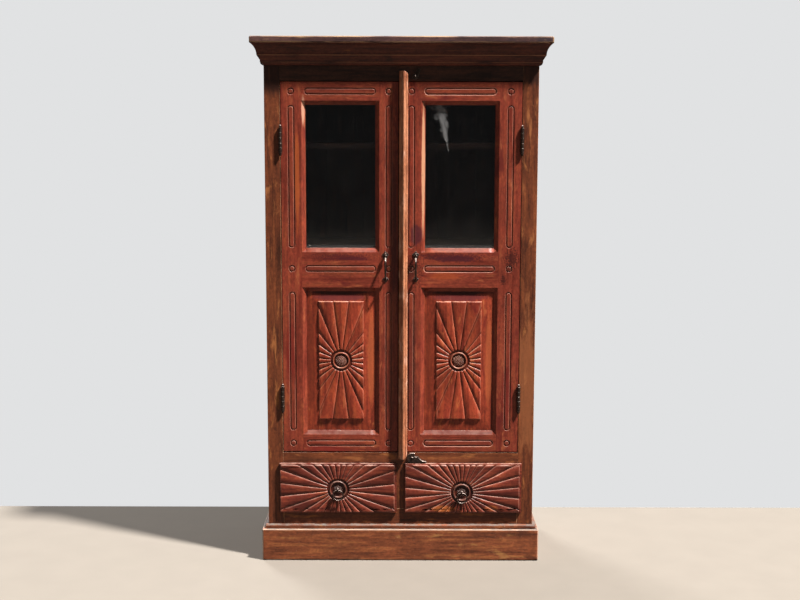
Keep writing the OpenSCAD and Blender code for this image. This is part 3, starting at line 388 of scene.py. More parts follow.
        rounded = add(tree, "Bevel", {"Radius": self.edge_mm * MM}, samples=self.edge_samples)
        open_air = add(tree, "AmbientOcclusion", {
            "Distance": self.crevice_mm * MM,
        }, samples=self.crevice_samples).outputs["AO"]
        up = add(tree, "SeparateXYZ", {
            0: add(tree, "NewGeometry").outputs["Normal"],
        }).outputs["Z"]
        worn = self.worn_from - self.arris_reach * self.arris_wear
        rubbed = add(tree, "MapRange", {
            "Value": streaks, "From Min": worn - self.worn_span, "From Max": worn,
            "To Max": add(tree, "Attribute", attribute_name="worn").outputs["Fac"],
        })
        settled = add(tree, "MapRange", {
            "Value": drift, "From Min": self.drift_span[0], "From Max": self.drift_span[1],
            "To Max": self.dust_and_highlight_cover,
        })
        chip_low, chip_high, chip_most = self.chip_span
        for code, pattern, low, high, most in (
            (self.dark, pores, *self.pore_span),
            (self.grime_and_shade, specks, *self.speck_span),
            (self.arris, specks, chip_low, chip_high, chip_most * self.chipped),
            # Dirt and painted shade where the AO node finds corners and grooves closed in
            (self.grime_and_shade, open_air, *self.dirt_and_shade_span),
            (self.arris, open_air, *self.open_span, rubbed),
            # Faces that look up turn pale: dusting, and a painted highlight
            (self.dust_and_highlight, up, *self.upward_span, settled),
        ):
            color = self.lay(tree, color, code, pattern, low, high, most)
        tone = add(tree, "Math", {
            0: add(tree, "Attribute", attribute_name="tone").outputs["Fac"],
            1: self.tone_step, 2: 1.0,
        }, operation="MULTIPLY_ADD")
        color = add(tree, "Mix", {
            0: 1.0, 6: color, 7: tone,
        }, data_type="RGBA", blend_type="MULTIPLY").outputs[2]

        span, most = self.bare_span
        dull = add(tree, "MapRange", {
            "Value": patches, "From Min": bare, "From Max": bare + span,
            "To Min": self.roughness, "To Max": self.roughness + self.bare_dullness * most,
        })
        fine = add(tree, "Math", {
            0: pores, 1: self.pore_relief, 2: streaks,
        }, operation="MULTIPLY_ADD")
        bump = add(tree, "Bump", {
            "Height": fine, "Distance": self.relief_mm * MM, "Normal": rounded,
            "Strength": self.relief,
        })
        shader = add(tree, "BsdfPrincipled", {
            "Base Color": color, "Roughness": dull, "Normal": bump, "IOR": self.ior,
            "Specular IOR Level": self.shine,
        })
        add(tree, "OutputMaterial", {"Surface": shader})
        return material


@dataclass(frozen=True)
class IronFinish:
    """Hand-forged iron, blackened with oil and a little rusty.

    Args:
        name: The material's name.
        black: The colour of the sound skin.
        rust: The colour of the rust.
        bright: The colour where hands have rubbed it.
        dust_and_highlight: The colour on the faces that look up: dusting, and a painted highlight.
        roughness: The roughness of the sound skin.
    """

    name: str = "forged_blackened_iron"
    black: str = "#3b312b"
    rust: str = "#4d2c1e"
    bright: str = "#b3a598"
    dust_and_highlight: str = "#c3ab9e"
    roughness: float = 0.36

    rust_mm = 4.0
    hammer_mm = 3.5
    edge_mm = 1.1
    edge_samples = 6
    relief_mm = 0.4
    relief = 0.5
    rust_relief = 0.3
    # The noise's values where rust starts and covers
    rust_span = (0.52, 0.66)
    # How alike the rounded and the flat normal are where brightness starts and where it is most
    bright_span = (0.96, 0.84, 0.8)
    # How far a face looks up where the dusting and painted highlight start and where they are most
    dust_and_highlight_span = (0.45, 0.8, 0.6)
    # How metallic the sound skin and the rust are, and how rough the rust
    metallic = (0.85, 0.1)
    rust_roughness = 0.85

    def build(self) -> Material:
        """Builds the material: dull black faces, brown rust and edges rubbed bright."""
        material, tree = blank_material(self.name)
        place = add(tree, "TexCoord").outputs["Object"]
        spread = add(tree, "TexNoise", {
            "Vector": place, "Scale": 1 / (self.rust_mm * MM), "Detail": 6.0, "Roughness": 0.65,
        }).outputs["Fac"]
        rusty = add(tree, "MapRange", {
            "Value": spread, "From Min": self.rust_span[0], "From Max": self.rust_span[1],
        })
        rounded = add(tree, "Bevel", {"Radius": self.edge_mm * MM}, samples=self.edge_samples)
        face = add(tree, "NewGeometry").outputs["Normal"]
        alike = add(tree, "VectorMath", {0: rounded, 1: face}, operation="DOT_PRODUCT")
        up = add(tree, "SeparateXYZ", {0: face}).outputs["Z"]
        # Faces that look up turn pale: dusting, and a painted highlight
        edge, top = (
            add(tree, "MapRange", {
                "Value": value, "From Min": low, "From Max": high, "To Max": most,
            })
            for value, (low, high, most) in (
                (alike.outputs["Value"], self.bright_span), (up, self.dust_and_highlight_span),
            )
        )
        color = self.black
        for share, code in ((rusty, self.rust), (edge, self.bright), (top, self.dust_and_highlight)):
            color = add(tree, "Mix", {0: share, 6: color, 7: code}, data_type="RGBA").outputs[2]
        skin = add(tree, "MapRange", {
            "Value": rusty, "To Min": self.metallic[0], "To Max": self.metallic[1],
        })
        metal = add(tree, "Math", {0: skin, 1: top}, operation="SUBTRACT", use_clamp=True)
        rough = add(tree, "MapRange", {
            "Value": rusty, "To Min": self.roughness, "To Max": self.rust_roughness,
        })
        dents = add(tree, "TexVoronoi", {
            "Vector": place, "Scale": 1 / (self.hammer_mm * MM),
        }, feature="SMOOTH_F1").outputs["Distance"]
        height = add(tree, "Math", {
            0: spread, 1: self.rust_relief, 2: dents,
        }, operation="MULTIPLY_ADD")
        bump = add(tree, "Bump", {
            "Height": height, "Distance": self.relief_mm * MM, "Strength": self.relief,
            "Normal": rounded,
        })
        shader = add(tree, "BsdfPrincipled", {
            "Base Color": color, "Metallic": metal, "Roughness": rough,
            "Normal": bump,
        })
        add(tree, "OutputMaterial", {"Surface": shader})
        return material


@dataclass(frozen=True)
class GlassFinish:
    """Old window glass: clear, with a dusty foot and a torn pale wedge that hides part of it.

    Args:
        name: The material's name.
        tint: The colour of the glass.
        wedge_top: The wedge's upper end: its middle across and its height, in millimetres.
        wedge_tip: The wedge's lower tip.
        wedge_half: Half of the wedge's width at its upper end.
        foot: The height of the dusty band at the glass's foot: where it ends and starts.
    """

    name: str = "old_window_glass"
    tint: str = "#e6e3e1"
    wedge_top: tuple[float, float] = (120.0, 1492.0)
    wedge_tip: tuple[float, float] = (152.0, 1338.0)
    wedge_half: float = 24.0
    foot: tuple[float, float] = (1048.0, 1032.0)

    film_mm = 60.0
    torn_mm = 16.0
    fleck_mm = 7.0
    # How far the wedge's edge is torn, and the values between which it fades
    tearing = 5.0
    torn_span = (3.6, 2.7)
    tip_half = 0.1
    # How much of the glass the pale wedge and the dusty foot hide
    wedge_cover = 0.13
    foot_dust = 0.05
    # The noise's values where a fleck starts and where it hides the most
    fleck_span = (0.775, 0.79, 0.5)
    # The film's least and greatest values, and how rough the glass is there
    film_span = (0.35, 0.75, 0.02, 0.14)
    wave_mm = 1.0
    wave = 0.12
    ior = 1.45

    def wedge(self, tree: NodeTree, place: NodeInput, rough: NodeInput) -> Node:
        """Adds the nodes of the torn wedge.

        Args:
            tree: The material's tree.
            place: The Object coordinates.
            rough: A noise value from 0 to 1 that tears its edge.

        Returns:
            The node that gives its cover, from 0 to 1.
        """
        axes = add(tree, "SeparateXYZ", {0: place})
        down = add(tree, "MapRange", {
            "Value": axes.outputs["Z"], "From Min": self.wedge_top[1] * MM,
            "From Max": self.wedge_tip[1] * MM,
        })
        middle = add(tree, "MapRange", {
            "Value": down, "To Min": self.wedge_top[0] * MM, "To Max": self.wedge_tip[0] * MM,
        })
        half = add(tree, "MapRange", {
            "Value": down, "To Min": self.wedge_half * MM, "To Max": self.tip_half * MM,
        })
        across = add(tree, "Math", {0: axes.outputs["X"], 1: middle}, operation="SUBTRACT")
        share = add(tree, "Math", {0: across, 1: half}, operation="DIVIDE")
        size = add(tree, "Math", {0: share}, operation="ABSOLUTE")
        torn = add(tree, "Math", {0: rough, 1: self.tearing, 2: size}, operation="MULTIPLY_ADD")
        return add(tree, "MapRange", {
            "Value": torn, "From Min": self.torn_span[0], "From Max": self.torn_span[1],
        })

    def build(self) -> Material:
        """Builds the material: the marks are what tells the eye that the dark holes are glazed."""
        material, tree = blank_material(self.name)
        place = add(tree, "TexCoord").outputs["Object"]
        film, torn, spots = (
            add(tree, "TexNoise", {
                "Vector": place, "Scale": 1 / (size_mm * MM), "Detail": 6.0, "Roughness": 0.7,
            }).outputs["Fac"] for size_mm in (self.film_mm, self.torn_mm, self.fleck_mm)
        )
        low, high, smooth, dull = self.film_span
        rough = add(tree, "MapRange", {
            "Value": film, "From Min": low, "From Max": high, "To Min": smooth, "To Max": dull,
        })
        height = add(tree, "SeparateXYZ", {0: place}).outputs["Z"]
        foot = add(tree, "MapRange", {
            "Value": height, "From Min": self.foot[0] * MM, "From Max": self.foot[1] * MM,
            "To Max": self.foot_dust,
        }, interpolation_type="SMOOTHSTEP")
        low, high, most = self.fleck_span
        flecks = add(tree, "MapRange", {
            "Value": spots, "From Min": low, "From Max": high, "To Max": most,
        })
        wedge_cover = add(tree, "Math", {
            0: self.wedge(tree, place, torn), 1: self.wedge_cover, 2: foot,
        }, operation="MULTIPLY_ADD")
        marks = add(tree, "Math", {0: wedge_cover, 1: flecks}, operation="MAXIMUM")
        clear = add(tree, "Math", {0: 1.0, 1: marks}, operation="SUBTRACT")
        wave = add(tree, "Bump", {
            "Height": film, "Distance": self.wave_mm * MM, "Strength": self.wave,
        })
        shader = add(tree, "BsdfPrincipled", {
            "Base Color": self.tint, "Roughness": rough, "IOR": self.ior,
            "Transmission Weight": clear, "Normal": wave,
        })
        add(tree, "OutputMaterial", {"Surface": shader})
        return material


class Finishes:
    """The cabinet's materials, each built once."""

    # Ink on the middle rails and hands' marks by the pulls, with a dark mark down the left door's
    # meeting stile that is in part painted shade of the cover strip; then painted highlights on the
    # window chamfers that face the light; then scattered specks, the last of them painted shade of
    # the right pull: the face's Y, and each mark's X, Z, half width, half height, colour, amount
    # and ragged edge
    stains = tuple(
        Stain((x, y, z), (wide, 8.0, high), color, amount, ragged, specked)
        for y, specked, marks in (
            (-170.0, False, (
                (165.0, 1000.0, 84.0, 10.0, "#41161f", 0.75, 1.4),
                (92.0, 1003.0, 22.0, 7.0, "#4a1d12", 0.7, 0.8),
                (-150.0, 1000.0, 66.0, 7.0, "#481722", 0.7, 0.9),
                (46.0, 1078.0, 26.0, 36.0, "#3a1522", 0.7, 0.8),
                # Dark mark down the left door's meeting stile: in part painted shade of the cover
                # strip
                (-24.0, 1120.0, 12.0, 260.0, "#2f1013", 0.5, 0.7),
                (28.0, 640.0, 34.0, 240.0, "#48201a", 0.55, 0.8),
                (-358.0, 700.0, 16.0, 130.0, "#6c1713", 0.6, 0.9),
                (345.0, 560.0, 22.0, 110.0, "#6a1a17", 0.5, 0.9),
                (-250.0, 372.0, 90.0, 14.0, "#741a17", 0.6, 0.9),
                (140.0, 945.0, 60.0, 16.0, "#a84a22", 0.5, 0.7),
                (-332.0, 1250.0, 9.0, 190.0, "#b05626", 0.6, 0.6),
            )),
            # Painted highlights on the two window chamfers that face the light
            (-166.0, False, (
                (70.5, 1290.0, 8.0, 250.0, "#cc9670", 0.7, 0.4),
                (-311.5, 1470.0, 8.0, 60.0, "#d09a7c", 0.7, 0.5),
            )),
            (-170.0, True, (
                (170.0, 1004.0, 112.0, 13.0, "#43131a", 0.75, 2.2),
                (-190.0, 1004.0, 96.0, 12.0, "#481419", 0.7, 2.2),
                (356.0, 1000.0, 22.0, 34.0, "#33110d", 0.8, 2.2),
                (330.0, 931.0, 10.0, 16.0, "#30100c", 0.8, 2.2),
                # Dark specks left of the right pull: painted shade of the pull
                (30.0, 960.0, 40.0, 60.0, "#2c0f0c", 0.7, 2.3),
            )),
        )
        for x, z, wide, high, color, amount, ragged in marks
    )
    # Sheesham dyed red-brown and polished: deep red where the dye has stayed, orange where
    # hands have thinned it, pale along the rubbed arrises
    door_look = dict(
        base="#803423", dark="#642114", light="#8f4227", bare="#a15430", bare_cover=0.42,
        arris="#cf9c82", arris_wear=0.7, grime_and_shade="#180a07", tint="#5a1a16", tint_cover=0.42,
        dust_and_highlight="#8c6a5d", dust_and_highlight_cover=0.5, stains=stains + tuple(
            stain for x in (-194.0, 188.0) for stain in (
                # A darker band along the foot of each panel opening: painted shade below the petals
                Stain((x, -164.0, 426.0), (150.0, 12.0, 9.0), "#56261c", 0.8, 0.4),
                # Pale specks along the inner arris of the panel's and the window's lower chamfers:
                # dust, and a painted highlight
                Stain((x, -157.5, 433.5), (150.0, 4.5, 4.5), "#c4b5a8", 0.9, 1.2, True),
                Stain((x, -157.5, 1032.5), (150.0, 4.5, 4.5), "#c9b4a4", 0.8, 1.2, True),
            )
        ),
    )
    # The same dye on cut grain, which drinks more of it: redder, with clean dark cuts
    carving_look = dict(
        base="#8c3621", dark="#672315", light="#a24728", bare="#ad592f", bare_cover=0.42,
        arris="#c48d70", arris_wear=0.6, grime_and_shade="#150906", tint="#6a1d18", tint_cover=0.45,
        dust_and_highlight="#c89a80", stains=tuple(
            stain for x in (-194.0, 188.0) for stain in (
                # On each panel's bevels: a painted shadow of the rail on the top bevel, painted
                # shade on the left bevel, a darker painted shadow just under the rail and a painted
                # highlight on the right bevel
                Stain((x, -163.0, 874.0), (112.0, 16.0, 15.0), "#5e2626", 0.8, 0.3),
                Stain((x - 98.0, -163.0, 660.0), (14.0, 14.0, 200.0), "#5a2213", 0.5, 0.5),
                Stain((x, -161.0, 889.0), (118.0, 14.0, 9.0), "#2b110c", 0.85, 0.2),
                Stain((x + 98.0, -163.0, 660.0), (14.0, 14.0, 190.0), "#b05a33", 0.55, 0.6),
            )
        ),
    )
    # Oiled, never dyed: brown, with orange patches where the oil has gone
    post_look = dict(
        base="#6a351e", dark="#452213", light="#864827", bare="#a26133", bare_cover=0.5,
        arris="#bf8c66", arris_wear=0.65, grime_and_shade="#160b07", tint="#3c1c12", tint_cover=0.42,
        stains=(
            Stain((410.0, -170.0, 600.0), (40.0, 30.0, 260.0), "#9c5d38", 0.55, 1.3),
            Stain((0.0, -170.0, 340.0), (400.0, 12.0, 14.0), "#8a4c2c", 0.3, 0.9),
            # Painted shadow of the cornice on the tops of both posts
            Stain((-410.0, -170.0, 1590.0), (60.0, 40.0, 90.0), "#26130e", 0.85, 0.4),
            Stain((410.0, -170.0, 1600.0), (60.0, 40.0, 60.0), "#2c1710", 0.8, 0.4),
        ),
    )
    # Dyed like the doors but handled daily: duller and dirtier
    drawer_look = dict(
        base="#702e20", dark="#4c1c15", light="#8a4029", bare="#9a4c2b", bare_cover=0.38,
        arris="#c9937c", arris_wear=0.8, grime_and_shade="#160907", tint="#4a1712", tint_cover=0.45,
        dust_and_highlight="#c39c8a", stains=(
            Stain((140.0, -178.0, 174.0), (48.0, 14.0, 15.0), "#bd6831", 0.75, 0.6),
            Stain((300.0, -178.0, 176.0), (30.0, 14.0, 13.0), "#a8582c", 0.7, 0.6),
            Stain((-330.0, -178.0, 190.0), (60.0, 14.0, 30.0), "#4a1c16", 0.5, 0.8),
        ),
    )

    def __init__(self) -> None:
        """Builds every material."""
        up, across, inward = Grain.UPRIGHT, Grain.ACROSS, Grain.INWARD
        self.stile = WoodFinish("polished_sheesham_stile", up, **self.door_look).build()
        self.rail = WoodFinish("polished_sheesham_rail", across, **self.door_look).build()
        self.carving = WoodFinish("polished_sheesham_carving", up, **self.carving_look).build()
        self.post = WoodFinish("oiled_sheesham_post", up, **self.post_look).build()
        self.cross = WoodFinish("oiled_sheesham_rail", across, **self.post_look).build()
        self.side_rail = WoodFinish("oiled_sheesham_side_rail", inward, **self.post_look).build()
        self.drawer = WoodFinish("polished_sheesham_drawer", across, **self.drawer_look).build()
        # Held by every hand that opens the doors: the dye is nearly gone
        self.strip = WoodFinish(
            "worn_sheesham_strip", up, base="#ae6c4a", dark="#7e462e", light="#c98c69",
            bare="#cf9a7e", bare_cover=0.5, arris="#ddb296", arris_wear=0.8, grime_and_shade="#24110a",
            roughness=0.5, tint="#6a3a24",
        ).build()
        # Kicked and swept against: scuffed dull, with pale scratches
        plinth_look = dict(
            base="#7f4226", dark="#572c18", light="#a06035", bare="#a8713f", bare_cover=0.42,
            arris="#bd9880", arris_wear=0.8, grime_and_shade="#1c0f09", roughness=0.6, tint="#4c2516",
            tint_cover=0.45, dust_and_highlight="#6b645c", dust_and_highlight_cover=0.85, chipped=0.8,
        )
        self.plinth = WoodFinish("scuffed_sheesham_plinth", across, **plinth_look).build()
        self.plinth_side = WoodFinish("scuffed_sheesham_return", inward, **plinth_look).build()
        # Out of reach, so its dark polish is whole but for the nose
        cornice_look = dict(
            base="#5a291b", dark="#3a1911", light="#703a25", bare="#834a28", bare_cover=0.3,
            arris="#a5714f", arris_wear=0.7, grime_and_shade="#150805", tint="#371812", dust_and_highlight="#86695b",
        )
        self.cornice = WoodFinish("dark_sheesham_cornice", across, **cornice_look).build()
        self.cornice_side = WoodFinish("dark_sheesham_return", inward, **cornice_look).build()
        # Its nose has lost its dye to the air: greyed, with pale chipped arrises
        self.top = WoodFinish(
            "greyed_sheesham_top", across, base="#4d302c", dark="#33201e", light="#64443c",
            bare="#8a6a4c", bare_cover=0.4, arris="#a07d5a", arris_wear=0.42, grime_and_shade="#130a08",
            roughness=0.6, tint="#2c2027", tint_cover=0.45, dust_and_highlight="#86695b", chipped=0.6,
        ).build()
        # Coloured near black: painted shadow of the cornice above it
        self.frieze = WoodFinish(
            "shaded_sheesham_frieze", across, base="#3e2318", dark="#29160f", light="#502d1e",
            bare="#5a351f", bare_cover=0.25, arris="#7a543c", arris_wear=0.5, grime_and_shade="#0f0705",
            tint="#1f100b", tint_cover=0.5,
        ).build()
        # Never finished: dull boards, coloured near black as painted shade for the cabinet's
        # inside, so that the windows read as black
        inside_look = dict(
            base="#2c1c14", dark="#1c110c", light="#3a261b", bare="#4a3324", bare_cover=0.3,
            arris="#5a4130", arris_wear=0.4, grime_and_shade="#0e0906", roughness=0.75, shine=0.2,
            tint="#20140e", dust_and_highlight="#4d3c30",
        )
        self.inside = WoodFinish("unpolished_board_upright", up, **inside_look).build()
        self.inside_across = WoodFinish("unpolished_board_across", across, **inside_look).build()
        self.inside_inward = WoodFinish("unpolished_board_inward", inward, **inside_look).build()
        self.iron = IronFinish().build()
        self.glass = GlassFinish().build()


def dress(node: str, material: Material) -> None:
    """Gives a CAD node its finish.

    Args:
        node: The CAD node's name.
        material: The finish.
    """
    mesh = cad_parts[node].data
    mesh.materials.clear()
    mesh.materials.append(material)
    LOG.info("dressed %s with %s", node, material.name)


def make_piece(
    bm: BMesh,
    name: str,
    body: str,
    material: Material,
    node: str,
    smooth_deg: float = 32.0,
    weigh: bool = False,
) -> None:
    """Turns a mesh into a piece of the cabinet.

    Args:
        bm: The mesh, in metres; it is freed.
        name: The piece's name.
        body: The body that it moves with.
        material: Its finish.
        node: The CAD node that it stands for.
        smooth_deg: Edges sharper than this stay sharp.
        weigh: Keeps the flat faces flat beside their rounded arrises.
    """
    mesh = bpy.data.meshes.new(name)
    bm.to_mesh(mesh)
    bm.free()
    mesh.materials.append(material)
    mesh.shade_smooth()
    mesh.set_sharp_from_angle(angle=math.radians(smooth_deg))
    piece = bpy.data.objects.new(name, mesh)
    bpy.context.scene.collection.objects.link(piece)
    if weigh:
        piece.modifiers.new("flat_faces", "WEIGHTED_NORMAL").keep_sharp = True
    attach(piece, body)
    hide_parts(node)
    LOG.info("made %s on %s, %d faces", name, body, len(mesh.polygons))


@dataclass(frozen=True)
class Chip:
    """A bit knocked off an arris.

    Args:
        at: Its middle, in millimetres.
        radius: Its half width, in millimetres.
        depth: How deep it goes, in millimetres.
    """

    at: tuple[float, float, float]
    radius: float
    depth: float


@dataclass(frozen=True)
class WornBoard:
    """A board of the frame with its arrises rubbed round by use.

    Args:
        node: The CAD node that it stands for.
        slot: The record's slot that its finish is for; not used.
        faces: The planes whose arrises are rubbed, each an axis and a level in millimetres.
        arris: The width of a rubbed arris, in millimetres.
        along: The axis that the board runs along.
        pitch: The distance between the cuts that let an arris wander.
        wander: How far an arris wanders inwards, in millimetres.
        rows: More cuts that keep the wandering beside the arris.
        chips: The bits knocked off.
        body: The body that it moves with.
    """

    node: str
    slot: Slot
    faces: tuple[tuple[int, float], ...]
    arris: float
    along: int
    pitch: float
    wander: float
    rows: tuple[tuple[int, float], ...] = ()
    chips: tuple[Chip, ...] = ()
    body: str = "carcass"

    # Flatter edges than this are no arrises, and this near to a face an edge lies on it
    sharp_deg = 25.0
    face_slack = 0.02
    weld_mm = 0.004
    flat_deg = 0.5
    # A routed line's rubbed rim and raised core: how wide and how bare
    rim = (1.6, 0.45)
    core = (1.7, 0.2)
    # The noise that an arris wanders by, and what is added so that more of it wanders
    wander_mm = 23.0
    wander_more = 0.25
    # How far a normal leans from the axes at full wear, and the least share that wears
    full_slant = 0.25
    least_slant = 0.05
    # A chip's ragged bottom: its noise, its mean depth and how far that varies
    chip_mm = 5.0
    chip_mean = 0.7
    chip_ragged = 0.6
    arris_segments = 3
    smooth_deg = 40.0

    def shows(self, edge: BMEdge) -> bool:
        """Tells whether an edge is an arris on one of the faces."""
        if not edge.is_manifold or not edge.is_convex:
            return False
        if edge.calc_face_angle(0.0) < math.radians(self.sharp_deg):
            return False
        return any(
            all(abs(v.co[axis] / MM - level) < self.face_slack for v in edge.verts)
            for axis, level in self.faces
        )

    def copy(self) -> BMesh:
        """Copies the CAD node's mesh with its triangles merged into whole faces."""
        bm = bmesh.new()
        bm.from_mesh(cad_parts[self.node].data)
        bmesh.ops.remove_doubles(bm, verts=bm.verts, dist=self.weld_mm * MM)
        bmesh.ops.dissolve_limit(
            bm, angle_limit=math.radians(self.flat_deg), verts=bm.verts, edges=bm.edges,
        )
        return bm

    def rub(
        self,
        bm: BMesh,
        edges: Sequence[BMEdge],
        width: float,
        bareness: float = 1.0,
    ) -> None:
        """Rubs edges round and marks them worn.

        Args:
            bm: The mesh.
            edges: The edges.
            width: The width of the rubbed arris, in millimetres.
            bareness: How bare the arris is, from 0 to 1.
        """
        worn = bm.faces.layers.float.get("worn") or bm.faces.layers.float.new("worn")
        made = bmesh.ops.bevel(
            bm, geom=list(edges), offset=width * MM, offset_type="OFFSET",
            segments=self.arris_segments, profile=0.5, affect="EDGES", clamp_overlap=True,
            material=-1,
        )
        for face in made["faces"]:
            face[worn] = bareness

    def cut(self, bm: BMesh, axis: int, level: float) -> None:
        """Cuts the mesh's faces along a plane, and leaves them joined.

        Args:
            bm: The mesh.
            axis: The axis that the plane stands across.
            level: Its place on that axis, in millimetres.
        """
        way = Vector((0.0, 0.0, 0.0))
        way[axis] = 1.0
        bmesh.ops.bisect_plane(
            bm, geom=bm.verts[:] + bm.edges[:] + bm.faces[:], dist=1e-6,
            plane_co=way * level * MM, plane_no=way,
        )

    def depth(self, spot: Vector) -> float:
        """Gives how deep the wood is worn off at a spot, both in millimetres."""
        deep = self.wander * max(0.0, noise.noise(spot / self.wander_mm) + self.wander_more)
        for chip in self.chips:
            near = 1 - (spot - Vector(chip.at)).length_squared / chip.radius ** 2
            if near > 0:
                ragged = self.chip_ragged * noise.noise(spot / self.chip_mm)
                deep += chip.depth * near * (self.chip_mean + ragged)
        return deep

    def age(self, bm: BMesh) -> None:
        """Lets the arrises wander inwards and knocks the chips off.

        Args:
            bm: The mesh.
        """
        span = [v.co[self.along] / MM for v in bm.verts]
        low, high = min(span), max(span)
        steps = round((high - low) / self.pitch)
        for axis, level in self.rows:
            self.cut(bm, axis, level)
        for k in range(1, steps):
            self.cut(bm, self.along, low + (high - low) * k / steps)
        bm.normal_update()
        moves = []
        for v in bm.verts:
            slant = min(1.0, (1 - max(abs(c) for c in v.normal)) / self.full_slant)
            if slant >= self.least_slant:
                moves.append((v, v.normal * (-slant * self.depth(v.co / MM) * MM)))
        for v, move in moves:
            v.co += move

    def build(
        self,
        material: Material,
        routs: Sequence[Callable[[BMEdge], bool]] = (),
    ) -> None:
        """Builds the board.

        Args:
            material: Its finish.
            routs: Tells which edges are routed rims, then which are raised cores.
        """
        bm = self.copy()
        for routed, (width, bareness) in zip(routs, (self.rim, self.core)):
            self.rub(bm, [e for e in bm.edges if self.shows(e) and routed(e)], width, bareness)
        self.rub(bm, [
            e for e in bm.edges if self.shows(e) and not any(routed(e) for routed in routs)
        ], self.arris)
        self.age(bm)
        make_piece(bm, f"worn_{self.node}", self.body, material, self.node,
                   self.smooth_deg, weigh=True)


@dataclass(frozen=True)
class Rect:
    """A rectangle seen from a rosette's middle, in millimetres."""

    left: float
    right: float
    bottom: float
    top: float

    def reach(self, angle: float) -> float:
        """Gives the distance from the middle to the edge along an angle."""
        across, up = math.cos(angle), math.sin(angle)
        sideways = (self.right if across > 0 else self.left) / across if abs(across) > 1e-9 else 1e9
        upwards = (self.top if up > 0 else self.bottom) / up if abs(up) > 1e-9 else 1e9
        return min(sideways, upwards)

    def inside(self, x: float, z: float) -> float:
        """Gives how far a point lies inside the nearest side."""
        return min(x - self.left, self.right - x, z - self.bottom, self.top - z)

    def inset(self, by: float) -> "Rect":
        """Gives the rectangle that lies inside this one by a distance."""
        return Rect(self.left + by, self.right - by, self.bottom + by, self.top - by)

    def corner_angles(self) -> list[float]:
        """Gives the angles of the four corners, anticlockwise from the lower right."""
        return [
            math.atan2(z, x) % math.tau
            for x, z in ((self.right, self.bottom), (self.right, self.top),
                         (self.left, self.top), (self.left, self.bottom))
        ]


@dataclass(frozen=True)
class Spot:
    """A point on a carving, seen from the middle of its boss.

    Args:
        x: Its place across, in millimetres.
        z: Its place up, in millimetres.
        r: Its distance from the middle, in millimetres.
        column: Its column in the grid.
    """

    x: float
    z: float
    r: float
    column: int


